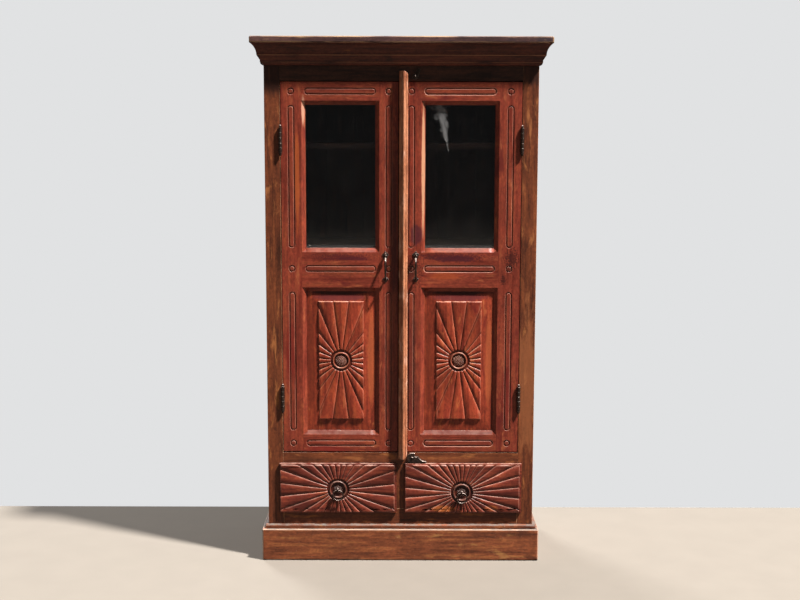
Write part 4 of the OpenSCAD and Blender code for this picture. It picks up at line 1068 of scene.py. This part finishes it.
@dataclass(frozen=True)
class CarvedBoard:
    """A board whose face is carved with a sunburst round a hatched boss.

    Args:
        petals: The number of petals.
        middle: The place of the boss's middle, with Y at the field's plane.
        field: The rectangle that the carving fills.
        petal_field: The rectangle that the petals fill.
        boss_r: The outer radius of the boss's ring.
        carve_h: The height of the petals above the field's plane.
        floor_h: The height of the plain margin round the petals.
        stations: What follows the field's edge: each a rectangle and a height.
        rubbed: How worn the petals' arrises are, from 0 to 1.
        dome_r: The radius of the hatched dome.
        dome_foot: The height of the dome's rim above the moat.
        dome_rise: The height of its middle above its rim.
        ring_tone: How light the ring and the dome are; below 0 is darker.
    """

    petals: int
    middle: tuple[float, float, float]
    field: Rect
    petal_field: Rect
    boss_r: float
    carve_h: float
    floor_h: float
    stations: tuple[tuple[Rect, float], ...]
    rubbed: float = 0.2
    dome_r: float = 16.0
    dome_foot: float = 1.6
    dome_rise: float = 3.8
    ring_tone: float = 0.0

    # The ring and the moat beside the dome
    ring_half = 3.0
    ring_foot = 1.6
    ring_swell = 1.3
    moat_d = 5.0
    # The dome's crossing cuts
    hatch_pitch = 4.1
    hatch_lean = math.radians(40.0)
    hatch_d = 1.9
    hatch_w = 0.34
    hatch_fade = 2.0
    # The petals: their tips and grooves, and the half widths from which these are full
    gap_w = 6.0
    gap_d = 3.6
    tip_round = 4.0
    groove_w = 5.0
    groove_d = 2.5
    groove_half = 5.0
    groove_share = 0.45
    groove_curve = 1.5
    tip_notch = 0.25
    crown = 1.6
    crown_half = 13.0
    end_round = 4.2
    notch_w = 5.0
    notch_d = 2.6
    # The field's rounded edge
    rim_w = 1.2
    rim_d = 0.8
    # How worn the dome and the ring's crest are, and what of a petal's arris stays dark
    dome_worn = 0.14
    ring_worn = 0.4
    crest_half = 1.1
    dark_tip = 1.5
    dark_end = 0.8
    worn_end = 3.2
    # How light the dome, the cuts and each petal are, and how far a cut's dark reaches
    dome_tone = -0.4
    # The cuts' darkening is dirt and painted shade
    cut_tone = -2.4
    petal_tone = 1.6
    groove_reach = 1.5
    cut_more = 1.0
    ring_dark = 0.6
    plain_edge = 0.3
    # Each hand-cut petal leans its own way, by a share of its width
    lean_share = 0.10
    # The grid: distances from a groove and shares of a petal, then the rings outwards
    steps = (0.0, 1.1, 2.6, 5.0)
    shares = (0.0, 0.12, 0.27, 0.45, 0.7, 1.0)
    per_petal = 2 * (len(shares) - 1)
    dome_rings = tuple(ring / 32 for ring in range(32)) + (0.985, 1.0)
    boss_rings = (-10.5, -8.5, -6.6, -5.9, -5.4, -4.6, -3.6, -2.6, -1.6, -0.8, -0.25, 0.1, 0.5,
                  2.5, 4.8, 6.0, 6.4, 7.0, 7.8, 9.0, 10.8)
    far_shares = (0.08, 0.2, 0.34, 0.5, 0.66, 0.8, 0.9)
    far_inset = 12.0
    edge_rings = (9.0, 6.0, 4.6, 3.6, 2.8, 2.0, 1.4, 0.9, 0.5, 0.2)
    margin_share = 0.6
    margin_rings = (1.2, 0.5, 0.0)
    ring_gap = 0.4
    # A point's angle and radius hang on each other, so they are settled in rounds
    rounds = 4
    first_r = 60.0
    weld_mm = 0.002

    @cached_property
    def columns(self) -> int:
        """The number of columns round the boss."""
        return self.petals * self.per_petal

    def half_width(self, r: float) -> float:
        """Gives half of a petal's width at a radius."""
        return r * math.tan(math.pi / self.petals)

    def side(self, column: int) -> int:
        """Gives a column's number of steps from its nearest groove."""
        within = column % self.per_petal
        return min(within, self.per_petal - within)

    def from_groove(self, column: int, r: float) -> float:
        """Gives the distance of a column from its groove at a radius."""
        step = self.side(column)
        spread = self.shares[step] * self.half_width(r)
        return min(self.steps[step], spread) if step < len(self.steps) else spread

    def angle(self, column: int, r: float) -> float:
        """Gives the angle of a column at a radius.

        Args:
            column: The column.
            r: The radius.

        Returns:
            The angle from the right, in radians, with the petals' own leans in it.
        """
        petal, within = divmod(column, self.per_petal)
        half = self.half_width(r)
        share = self.from_groove(column, r) / half if half > 0 else 0.0
        turn = (share if within < len(self.shares) else 2 - share) / 2
        lean = [
            self.lean_share * noise.noise(Vector((p % self.petals * 7.3, self.petals, 0.5)))
            for p in (petal, petal + 1)
        ]
        return (petal - 0.5 + turn + lean[0] * (1 - turn) + lean[1] * turn) * math.tau / self.petals

    @cached_property
    def corner_columns(self) -> dict[int, int]:
        """The column that meets each of the field's corners."""
        found = {}
        for number, corner in enumerate(self.field.corner_angles()):
            r = self.field.reach(corner)
            apart = [
                abs((self.angle(column, r) - corner + math.pi) % math.tau - math.pi)
                for column in range(self.columns)
            ]
            found[apart.index(min(apart))] = number
        return found

    @cached_property
    def near(self) -> list[float]:
        """The radii of the rings on and round the boss."""
        outside = [self.boss_r + out for out in self.boss_rings]
        return ([share * self.dome_r for share in self.dome_rings]
                + [r for r in outside if r > self.dome_r + self.ring_gap])

    @cached_property
    def last(self) -> list[float]:
        """The distances from the field's edge of the last rings."""
        margin = max(self.petal_field.left - self.field.left,
                     self.field.right - self.petal_field.right, 0.0)
        if margin > 0:
            return [*(margin + n for n in self.edge_rings), margin, margin * self.margin_share,
                    *self.margin_rings]
        return [*self.edge_rings, 0.0]

    @cached_property
    def carved(self) -> int:
        """The number of carved rings."""
        return len(self.near) + len(self.far_shares) + len(self.last)

    def hatch(self, at: Spot) -> float:
        """Gives how deep a point lies in the dome's crossing cuts, from 0 to 1."""
        across, up = math.sin(self.hatch_lean), math.cos(self.hatch_lean)
        nearest = min(
            abs(((sign * at.x * across + at.z * up) / self.hatch_pitch) % 1 - 0.5)
            for sign in (-1, 1)
        )
        return max(0.0, 1 - nearest / self.hatch_w)

    def boss_height(self, at: Spot) -> float:
        """Gives the height of the dome, the moat and the ring.

        Args:
            at: The point.

        Returns:
            The height above the field's plane.
        """
        moat = self.carve_h - self.moat_d
        if at.r <= self.dome_r:
            out = at.r / self.dome_r
            rise = (self.dome_rise * (1 - out ** 2)
                    + self.dome_foot * math.sqrt(max(0.0, 1 - out ** 6)))
            cut = self.hatch(at) * min(1.0, (self.dome_r - at.r) / self.hatch_fade)
            return moat + rise - self.hatch_d * cut
        over_ring = self.ring_half ** 2 - (at.r - self.boss_r + self.ring_half) ** 2
        if over_ring > 0:
            return moat + self.ring_foot + self.ring_swell * math.sqrt(over_ring)
        return moat

    def height(self, at: Spot) -> float:
        """Gives the carving's height.

        Args:
            at: The point.

        Returns:
            The height above the field's plane.
        """
        if at.r < self.boss_r:
            return self.boss_height(at)
        tip = at.r - self.boss_r - self.gap_w
        if tip < 0:
            return self.carve_h - self.gap_d
        half = self.half_width(at.r)
        gap = self.from_groove(at.column, at.r)
        width = min(self.groove_w, self.groove_share * half)
        depth = self.groove_d * min(1.0, half / self.groove_half)
        cut = depth * max(0.0, 1 - gap / width) ** self.groove_curve
        crown = self.crown * min(1.0, half / self.crown_half) * (1 - gap / half) ** 2
        top = max(self.floor_h, self.carve_h - cut - crown)
        if tip < self.tip_round:
            corner = self.tip_notch * (1 - min(1.0, gap / width))
            near = max(0.0, tip / self.tip_round - corner)
            low = self.carve_h - self.gap_d
            top = low + (top - low) * math.sqrt(1 - (1 - near) ** 2)
        end = self.petal_field.inside(at.x, at.z)
        if end < self.end_round:
            corner = max(0.0, 1 - gap / self.notch_w) * self.notch_d
            near = max(0.0, min(1.0, (end - corner) / self.end_round))
            top = self.floor_h + (top - self.floor_h) * math.sqrt(1 - (1 - near) ** 2)
        outer = self.field.inside(at.x, at.z)
        if self.floor_h > 0 and outer < self.rim_w:
            top -= self.rim_d * (1 - outer / self.rim_w) ** 2
        return top

    def spot(self, column: int, row: int) -> Spot:
        """Gives the point of a column and a row."""
        corner = self.corner_columns.get(column)
        far_row = row - len(self.near)
        last_row = far_row - len(self.far_shares)
        r, angle = self.first_r, 0.0
        for _ in range(self.rounds):
            angle = self.angle(column, r)
            if far_row < 0:
                r = self.near[row]
            elif last_row < 0:
                share = self.far_shares[far_row]
                if corner is not None:
                    aim = self.field.corner_angles()[corner]
                    angle += ((aim - angle + math.pi) % math.tau - math.pi) * share
                far = self.field.reach(angle) - self.far_inset
                r = self.near[-1] + (far - self.near[-1]) * share
            else:
                inner = self.field.inset(self.last[min(last_row, len(self.last) - 1)])
                if corner is not None:
                    angle = inner.corner_angles()[corner]
                r = inner.reach(angle)
        return Spot(r * math.cos(angle), r * math.sin(angle), r, column)

    def worn(self, at: Spot) -> float:
        """Gives how worn a point is: the petals' arrises, their ends and the ring's crest.

        Args:
            at: The point.

        Returns:
            The wear, from 0 to 1.
        """
        if at.r < self.dome_r:
            return self.dome_worn * (1 - self.hatch(at))
        if at.r < self.boss_r:
            crest = abs(at.r - self.boss_r + self.ring_half)
            return self.ring_worn if crest < self.crest_half else 0.0
        end = self.petal_field.inside(at.x, at.z)
        if at.r < self.boss_r + self.gap_w + self.dark_tip or end < self.dark_end:
            return 0.0
        side = self.side(at.column)
        return self.rubbed if side == 2 or side > 2 and end < self.worn_end else 0.0

    def tone(self, at: Spot) -> float:
        """Gives how light a point is: each petal is its own, and the cuts are darker: dirt and
        painted shade.

        Args:
            at: The point.

        Returns:
            The tone, where 0 is the finish's own.
        """
        if at.r < self.dome_r:
            return self.ring_tone + self.dome_tone + self.cut_tone * self.hatch(at)
        out = at.r - self.boss_r
        if out < self.gap_w + self.cut_more:
            on_ring = abs(out + self.ring_half) < self.ring_half - self.ring_dark
            return self.ring_tone if on_ring else self.cut_tone
        if self.field.inside(at.x, at.z) < self.plain_edge:
            return 0.0
        own = noise.noise(Vector((
            at.column // self.per_petal * 5.7, self.petals * 1.3, self.middle[0],
        )))
        gap = self.from_groove(at.column, at.r)
        return self.petal_tone * (own - max(0.0, 1 - gap / self.groove_reach))

    def point(self, column: int, row: int) -> tuple[Vector, float, float]:
        """Gives one of the grid's points.

        Args:
            column: Its column.
            row: Its row.

        Returns:
            Its place in millimetres, how worn it is and how light.
        """
        at = self.spot(column, row)
        x, z = at.x, at.z
        if row < self.carved:
            out = self.height(at)
        else:
            rect, out = self.stations[row - self.carved]
            old = self.field
            x = rect.left + (x - old.left) / (old.right - old.left) * (rect.right - rect.left)
            z = rect.bottom + (z - old.bottom) / (old.top - old.bottom) * (rect.top - rect.bottom)
        place = Vector((self.middle[0] + x, self.middle[1] - out, self.middle[2] + z))
        return place, self.worn(at), self.tone(at)

    def mesh(self) -> BMesh:
        """Wraps a grid round the boss, with its ends closed.

        Returns:
            The mesh, in metres, with what the finish reads at each point.
        """
        rows = self.carved + len(self.stations)
        bm = bmesh.new()
        bmesh.ops.create_grid(bm, x_segments=self.columns, y_segments=rows - 1, size=1.0)
        worn, tone = [bm.verts.layers.float.new(name) for name in ("worn", "tone")]
        for v in bm.verts:
            column = round((v.co.x + 1) / 2 * self.columns) % self.columns
            row = round((v.co.y + 1) / 2 * (rows - 1))
            place, v[worn], v[tone] = self.point(column, row)
            v.co = place * MM
        bmesh.ops.remove_doubles(bm, verts=bm.verts, dist=self.weld_mm * MM)
        bmesh.ops.holes_fill(bm, edges=[e for e in bm.edges if e.is_boundary], sides=0)
        bmesh.ops.recalc_face_normals(bm, faces=bm.faces)
        return bm


@dataclass(frozen=True)
class Door:
    """A door with its window and its carved panel.

    Args:
        side: "left" or "right".
        outer: The door's left and right edges.
        opening: The openings' left and right sides, at the door's face.
    """

    side: str
    outer: tuple[float, float]
    opening: tuple[float, float]

    face_y = -170.0
    door_t = 30.0
    chamfer_w = 13.0
    chamfer_back = 8.0
    panel_open = (421.0, 906.0)
    window_open = (1020.5, 1501.5)
    rail_routs = (392.75, 967.25, 1531.25)
    rout_end = 14.0
    rout_side = 10.0
    rout_half = 11.0
    rout_line = 4.0
    strip_shift = 4.0
    rout_slack = 0.4
    # A routed circle's middle line, which is next to nothing
    dot = 0.01
    # How far the arrises are rubbed and wander, and the boards' cuts: stiles and rails
    arris = 1.3
    wander = 0.35
    pitches = (30.0, 20.0)
    field_y = -165.5
    bevel_rise = 5.5
    tongue_lap = 8.0
    tongue_t = 8.0
    bevel_w = 36.5
    bevel_low = 36.5
    bevel_top = 31.0
    side_gap = 1.0

    @cached_property
    def core_lines(self) -> list[tuple[Vector, Vector]]:
        """The middle lines of the routed outlines' raised cores, across and up."""
        lines = []
        shift = self.strip_shift if self.side == "right" else 0.0
        for x in ((self.outer[0] + self.opening[0]) / 2 + shift,
                  (self.outer[1] + self.opening[1]) / 2):
            for low, high in (self.panel_open, self.window_open):
                end = self.rout_end + self.rout_half
                lines.append((Vector((x, low + end)), Vector((x, high - end))))
            lines += [(Vector((x, z)), Vector((x, z + self.dot))) for z in self.rail_routs]
        end = self.rout_side + self.rout_half
        for z in self.rail_routs:
            lines.append((Vector((self.opening[0] + end, z)), Vector((self.opening[1] - end, z))))
        return lines

    def within(self, edge: BMEdge, distance: float) -> bool:
        """Tells whether an edge follows a routed outline at a distance from its middle line.

        Args:
            edge: The edge.
            distance: The distance, in millimetres.

        Returns:
            True where both of the edge's ends lie at that distance, on the door's face.
        """
        if any(abs(v.co.y / MM - self.face_y) > WornBoard.face_slack for v in edge.verts):
            return False
        for start, end in self.core_lines:
            along = end - start
            near = 0
            for v in edge.verts:
                spot = Vector((v.co.x, v.co.z)) / MM
                share = max(0.0, min(1.0, (spot - start).dot(along) / along.length_squared))
                apart = (start + along * share - spot).length
                near += abs(apart - distance) < self.rout_slack
            if near == 2:
                return True
        return False

    def on_rim(self, edge: BMEdge) -> bool:
        """Tells whether an edge is the outer rim of a routed line."""
        return self.within(edge, self.rout_half)

    def on_core(self, edge: BMEdge) -> bool:
        """Tells whether an edge outlines the raised core inside a routed line."""
        return self.within(edge, self.rout_half - self.rout_line)

    def panel(self) -> CarvedBoard:
        """Gives the carved panel."""
        half = (self.opening[1] - self.opening[0]) / 2 - self.chamfer_w
        low = self.panel_open[0] + self.chamfer_w
        high = self.panel_open[1] - self.chamfer_w
        foot_z = (low + self.side_gap, high - self.side_gap)
        field_z = (foot_z[0] + self.bevel_low, foot_z[1] - self.bevel_top)
        middle_z = sum(field_z) / 2
        wide = half - self.side_gap - self.bevel_w
        field = Rect(-wide, wide, field_z[0] - middle_z, field_z[1] - middle_z)
        foot = Rect(self.side_gap - half, half - self.side_gap,
                    foot_z[0] - middle_z, foot_z[1] - middle_z)
        lap = Rect(-half - self.tongue_lap, half + self.tongue_lap,
                   low - self.tongue_lap - middle_z, high + self.tongue_lap - middle_z)
        return CarvedBoard(
            petals=24, middle=(sum(self.opening) / 2, self.field_y, middle_z),
            field=field, petal_field=field, boss_r=28.5, carve_h=4.0, floor_h=0.4,
            dome_r=20.5, dome_foot=3.0, dome_rise=2.6, ring_tone=-0.5,
            stations=((foot, -self.bevel_rise), (lap, -self.bevel_rise),
                      (lap, -self.bevel_rise - self.tongue_t)),
        )

    def build(self, finishes: Finishes) -> None:
        """Builds the door's wood and dresses its glass and iron.

        Args:
            finishes: The cabinet's materials.
        """
        body = f"{self.side}_door"
        make_piece(self.panel().mesh(), f"{self.side}_sunburst_panel", body,
                   finishes.carving, f"{self.side}_carved_panel")
        faces = tuple((Y, self.face_y + back) for back in (0.0, self.chamfer_back, self.door_t))
        for boards, along, pitch, material in zip(
            ("stiles", "rails"), (Z, X), self.pitches, (finishes.stile, finishes.rail)
        ):
            WornBoard(
                f"{self.side}_door_{boards}", Slot.DOOR, faces, self.arris, along, pitch,
                self.wander, body=body,
            ).build(material, (self.on_rim, self.on_core))
        for piece, material in (
            ("glazing_beads", finishes.stile), ("window_glass", finishes.glass),
            ("door_hinge_leaves", finishes.iron), ("pull_fittings", finishes.iron),
            ("drop_pull", finishes.iron),
        ):
            dress(f"{self.side}_{piece}", material)


@dataclass(frozen=True)
class Drawer:
    """A drawer with a carved front.

    Args:
        side: "left" or "right".
        petals: The number of petals on its front.
        lip: The front's left and right edges.
        block: The edges of the block behind the lip.
        rosette: The rosette's place across and up.
    """

    side: str
    petals: int
    lip: tuple[float, float]
    block: tuple[float, float]
    rosette: tuple[float, float]

    lip_z = (159.5, 325.5)
    block_z = (171.8, 312.5)
    face_y = -177.8
    lip_back = 8.0
    block_back = 22.3
    margin_right = 5.5
    margin_top = 4.5
    margin_low = 1.0

    def around(self, across: tuple[float, float], up: tuple[float, float]) -> Rect:
        """Gives a rectangle as seen from the rosette."""
        x, z = self.rosette
        return Rect(across[0] - x, across[1] - x, up[0] - z, up[1] - z)

    def build(self, finishes: Finishes) -> None:
        """Builds the carved front and dresses the drawer.

        Args:
            finishes: The cabinet's materials.
        """
        field = self.around(self.lip, self.lip_z)
        block = self.around(self.block, self.block_z)
        petal_field = Rect(field.left + self.margin_low, field.right - self.margin_right,
                           field.bottom + self.margin_low, field.top - self.margin_top)
        front = CarvedBoard(
            petals=self.petals,
            middle=(self.rosette[0], self.face_y, self.rosette[1]),
            field=field, petal_field=petal_field, boss_r=29.5, carve_h=4.0, floor_h=1.0,
            ring_tone=-1.7,
            stations=((field, -self.lip_back), (block, -self.lip_back), (block, -self.block_back)),
        )
        make_piece(front.mesh(), f"{self.side}_sunburst_front", f"{self.side}_drawer",
                   finishes.drawer, f"{self.side}_drawer_front")
        for piece in ("box", "bottom"):
            dress(f"{self.side}_drawer_{piece}", finishes.inside_across)
        for piece in ("staple", "ring"):
            dress(f"{self.side}_drawer_{piece}", finishes.iron)


@dataclass(frozen=True)
class Carcass:
    """The posts, rails, sides, back, cornice and plinth."""

    half_w: float = 435.0
    front_y: float = -169.5
    back_y: float = 210.5
    top_z: float = 1700.0
    cornice_out: float = 41.0
    fillet_out: float = 10.5
    splay_out: float = 20.0
    plinth_out: float = 20.0
    plinth_h: float = 106.0
    step_out: float = 12.0
    strip_z: tuple[float, float] = (343.5, 1594.0)
    # How far beside an arris the cuts lie that keep its wandering there
    post_cut: float = 6.0
    top_cut: float = 12.0
    plinth_cut: float = 8.0
    foot_cut: float = 7.0

    def boards(self, finishes: Finishes) -> list[tuple[WornBoard, Material]]:
        """Gives the boards whose worn arrises show, each with its finish.

        Args:
            finishes: The cabinet's materials.

        Returns:
            The boards and their finishes.
        """
        front, half = self.front_y, self.half_w
        nose, edge = front - self.cornice_out, half + self.cornice_out
        plinth, foot = front - self.plinth_out, half + self.plinth_out
        step, step_end = front - self.step_out, half + self.step_out
        posts = [
            (WornBoard(
                f"front_post_{name}", Slot.POST, ((Y, front), (X, side * half)), arris=1.8,
                along=Z, pitch=10.0, wander=0.8,
                rows=((X, side * (half - self.post_cut)), (Y, front + self.post_cut)),
                chips=tuple(Chip((side * half, front, z), *size) for z, *size in chips),
            ), finishes.post)
            for name, side, chips in (
                ("left", -1, ((830.0, 8.0, 2.5), (455.0, 10.0, 1.5))),
                ("right", 1, ((549.0, 24.0, 4.5), (1296.0, 7.0, 1.5))),
            )
        ]
        rails = [
            (WornBoard(
                rail, Slot.POST, ((Y, front),), arris=1.2, along=X, pitch=24.0, wander=0.4,
            ), material)
            for rail, material in (
                ("frieze_rail", finishes.frieze), ("middle_rail", finishes.cross),
                ("bottom_rail", finishes.cross),
            )
        ]
        top = WornBoard(
            "top_board", Slot.CORNICE, ((Z, self.top_z), (Y, nose)), arris=3.4, along=X,
            pitch=11.0, wander=1.3, rows=(
                (Y, nose + self.top_cut), (X, edge - self.top_cut), (X, self.top_cut - edge),
            ),
            chips=tuple(Chip((x, nose, self.top_z), *size) for x, *size in (
                (-edge, 20.0, 4.0), (edge, 14.0, 3.0), (-120.0, 26.0, 2.2), (210.0, 18.0, 2.5),
            )),
        )
        cornice = WornBoard(
            "cornice_front", Slot.CORNICE,
            ((Y, front - self.fillet_out), (Y, front - self.splay_out), (Y, nose)), arris=0.8,
            along=X, pitch=22.0, wander=0.5,
        )
        cornice_side = WornBoard(
            "cornice_returns", Slot.CORNICE,
            tuple((X, side * (half + out)) for side in (-1, 1)
                  for out in (self.fillet_out, self.splay_out, self.cornice_out)),
            arris=0.8, along=Y, pitch=22.0, wander=0.5,
        )
        plinth_front = WornBoard(
            "plinth_front", Slot.PLINTH,
            ((Y, plinth), (X, foot), (X, -foot), (Z, self.plinth_h)), arris=3.2, along=X,
            pitch=7.0, wander=1.5, rows=(
                (Z, self.foot_cut), (Z, self.plinth_h - self.plinth_cut),
                (X, foot - self.plinth_cut), (X, self.plinth_cut - foot),
            ),
            chips=tuple(Chip((x, plinth, z), *size) for x, z, *size in (
                (foot, 6.0, 19.0, 7.0), (foot - 34, 0.0, 12.0, 4.5), (foot - 70, 0.0, 8.0, 3.0),
                (foot - 120, 0.0, 14.0, 2.5), (foot, 58.0, 9.0, 2.0), (-foot, 2.0, 9.0, 3.0),
                (-foot, 88.0, 8.0, 3.0), (-180.0, 0.0, 16.0, 3.0),
                (60.0, self.plinth_h, 12.0, 1.5), (foot, self.plinth_h, 12.0, 3.5),
            )),
        )
        plinth_side = WornBoard(
            "plinth_returns", Slot.PLINTH,
            ((X, foot), (X, -foot), (Z, self.plinth_h), (Y, self.back_y)), arris=2.4, along=Y,
            pitch=14.0, wander=1.2,
            rows=((Z, self.foot_cut), (Z, self.plinth_h - self.plinth_cut)),
        )
        moulding = WornBoard(
            "plinth_moulding", Slot.PLINTH, ((Z, self.plinth_h),), arris=1.0, along=X,
            pitch=7.0, wander=1.8, chips=(Chip((step_end, step, 116.0), 12.0, 4.0),
                                          Chip((-step_end, step, 118.0), 9.0, 3.0)),
        )
        strip = WornBoard(
            "cover_strip", Slot.STRIP, tuple((Z, z) for z in self.strip_z), arris=2.2, along=Z,
            pitch=16.0, wander=0.7, body="right_door",
        )
        return posts + rails + [
            (top, finishes.top), (cornice, finishes.cornice),
            (cornice_side, finishes.cornice_side), (plinth_front, finishes.plinth),
            (plinth_side, finishes.plinth_side), (moulding, finishes.plinth),
            (strip, finishes.strip),
        ]

    def build(self, finishes: Finishes) -> None:
        """Builds the worn boards and dresses the rest of the carcass.

        Args:
            finishes: The cabinet's materials.
        """
        for board, material in self.boards(finishes):
            board.build(material)
        looks = {
            finishes.post: ["back_posts", "side_panels_left", "side_panels_right",
                            "drawer_divider"],
            finishes.side_rail: ["side_rails_left", "side_rails_right"],
            finishes.inside: ["back_boards"],
            finishes.inside_across: ["back_rails", "cabinet_floor", "shelves"],
            finishes.inside_inward: ["shelf_cleats", "drawer_runners", "drawer_guides"],
            finishes.iron: ["post_hinge_leaves", "hinge_pins", "button_screws",
                            "low_turn_button", "high_turn_button"],
        }
        for material, nodes in looks.items():
            for node in nodes:
                dress(node, material)


@dataclass(frozen=True)
class Studio:
    """The floor, the light and the camera, none of them part of the cabinet."""

    backdrop: str = "#e1e2e3"
    ground: str = "#7e756a"
    sky: str = "#f4f5f8"
    floor_back_m: float = 0.41
    floor_half_m: float = 14.0
    # The floor's grit: how many grains in a metre, and how dark and light they are
    grit: float = 9.0
    grit_tones: tuple[float, float] = (0.93, 1.05)
    aim_m: tuple[float, float, float] = (0.0, -0.17, 0.85)
    lamp_m: float = 30.0
    key_from: tuple[float, float, float] = (1.85, -1.0, 3.5)
    key_size: float = 2.2
    key_watt: float = 32000.0
    rear_from: tuple[float, float, float] = (-1.3, 2.4, 1.7)
    rear_watt: float = 8000.0
    rear_size: float = 9.0
    # How bright the world is for the wood, the floor's own light, and the glints in front
    fill: float = 0.16
    bounce: float = 0.32
    glint: float = 0.08
    # A mirrored ray's Y between which the glints turn to the backdrop
    glint_span: tuple[float, float] = (-0.1, 0.2)
    camera_m: tuple[float, float, float] = (-0.003, -4.1725, 1.3964)
    tilt_deg: float = 7.55
    roll_rad: float = 0.0022
    focal_px: float = 1250.0
    photo_px: float = 800.0
    sensor_mm: float = 36.0

    def floor(self) -> None:
        """Lays a floor that turns to the backdrop's colour behind the cabinet."""
        bm = bmesh.new()
        bmesh.ops.create_grid(bm, x_segments=1, y_segments=1, size=self.floor_half_m)
        mesh = bpy.data.meshes.new("floor")
        bm.to_mesh(mesh)
        bm.free()
        material, tree = blank_material("pale_floor")
        place = add(tree, "TexCoord").outputs["Object"]
        depth = add(tree, "SeparateXYZ", {0: place}).outputs["Y"]
        behind = add(tree, "Math", {0: depth, 1: self.floor_back_m}, operation="GREATER_THAN")
        seen = add(tree, "LightPath").outputs["Is Camera Ray"]
        clear = add(tree, "Math", {0: behind, 1: seen}, operation="MULTIPLY")
        grit = add(tree, "TexNoise", {"Vector": place, "Scale": self.grit, "Detail": 8.0})
        color = self.ground
        for value, low, high in (
            (grit.outputs["Fac"], *self.grit_tones), (seen, self.bounce, 1.0),
        ):
            share = add(tree, "MapRange", {"Value": value, "To Min": low, "To Max": high})
            color = add(tree, "Mix", {
                0: 1.0, 6: color, 7: share,
            }, data_type="RGBA", blend_type="MULTIPLY").outputs[2]
        shader = add(tree, "BsdfPrincipled", {"Base Color": color, "Roughness": 0.9})
        far = add(tree, "Emission", {"Color": self.backdrop, "Strength": 1.0})
        mixed = add(tree, "MixShader", {0: clear, 1: shader, 2: far})
        add(tree, "OutputMaterial", {"Surface": mixed})
        mesh.materials.append(material)
        floor = bpy.data.objects.new("floor", mesh)
        bpy.context.scene.collection.objects.link(floor)

    def lamp(self, name: str, come_from: Sequence[float], size: float, watt: float) -> None:
        """Hangs a round lamp that faces the cabinet.

        Args:
            name: The lamp's name.
            come_from: The way that its light comes from.
            size: Its diameter, in metres.
            watt: Its power.
        """
        light = bpy.data.lights.new(name, "AREA")
        light.shape = "DISK"
        light.size = size
        light.energy = watt
        lamp = bpy.data.objects.new(name, light)
        way = Vector(come_from).normalized()
        lamp.location = Vector(self.aim_m) + way * self.lamp_m
        lamp.rotation_euler = way.to_track_quat("Z", "Y").to_euler()
        bpy.context.scene.collection.objects.link(lamp)

    def light(self) -> None:
        """Sets a key light at the upper right, a soft one behind and an even fill."""
        self.lamp("key", self.key_from, self.key_size, self.key_watt)
        self.lamp("rear", self.rear_from, self.rear_size, self.rear_watt)

        world = bpy.data.worlds.new("studio")
        world.use_nodes = True
        bpy.context.scene.world = world
        tree = world.node_tree
        tree.nodes.clear()
        path = add(tree, "LightPath")
        seen, fill, dim = (
            add(tree, "Background", {"Color": color, "Strength": strength})
            for color, strength in (
                (self.backdrop, 1.0), (self.sky, self.fill), (self.sky, self.glint),
            )
        )
        way = add(tree, "SeparateXYZ", {0: add(tree, "TexCoord").outputs["Generated"]})
        behind = add(tree, "MapRange", {
            "Value": way.outputs["Y"], "From Min": self.glint_span[0],
            "From Max": self.glint_span[1],
        })
        glint = add(tree, "MixShader", {0: behind, 1: dim, 2: seen})
        bounced = add(tree, "Math", {
            0: path.outputs["Is Glossy Ray"], 1: path.outputs["Is Transmission Ray"],
        }, operation="MAXIMUM")
        unseen = add(tree, "MixShader", {0: bounced, 1: fill, 2: glint})
        mixed = add(tree, "MixShader", {0: path.outputs["Is Camera Ray"], 1: unseen, 2: seen})
        add(tree, "OutputWorld", {"Surface": mixed})

    def camera(self) -> None:
        """Sets the camera where the photograph was taken from."""
        lens = bpy.data.cameras.new("camera")
        lens.sensor_width = self.sensor_mm
        lens.sensor_fit = "HORIZONTAL"
        lens.lens = self.focal_px / self.photo_px * self.sensor_mm
        camera = bpy.data.objects.new("camera", lens)
        aim = Matrix.Rotation(math.radians(90 - self.tilt_deg), 4, "X")
        camera.matrix_world = (
            Matrix.Translation(self.camera_m) @ aim @ Matrix.Rotation(self.roll_rad, 4, "Z")
        )
        bpy.context.scene.collection.objects.link(camera)
        bpy.context.scene.camera = camera

    def build(self) -> None:
        """Builds the studio."""
        bpy.context.scene.view_settings.view_transform = "Standard"
        self.floor()
        self.light()
        self.camera()


def main() -> None:
    """Builds the cabinet's looks."""
    logging.basicConfig(level=logging.INFO, format="%(name)s: %(message)s")
    finishes = Finishes()
    Carcass().build(finishes)
    for door in (Door("left", (-383.0, -9.5), (-318.0, -70.0)),
                 Door("right", (-6.5, 383.0), (64.0, 312.0))):
        door.build(finishes)
    for drawer in (
        Drawer("left", 28, (-397.0, -13.5), (-384.0, -24.0), (-205.25, 237.5)),
        Drawer("right", 32, (13.5, 397.0), (24.0, 384.0), (201.25, 228.5)),
    ):
        drawer.build(finishes)
    Studio().build()


if __name__ == "__main__":
    main()
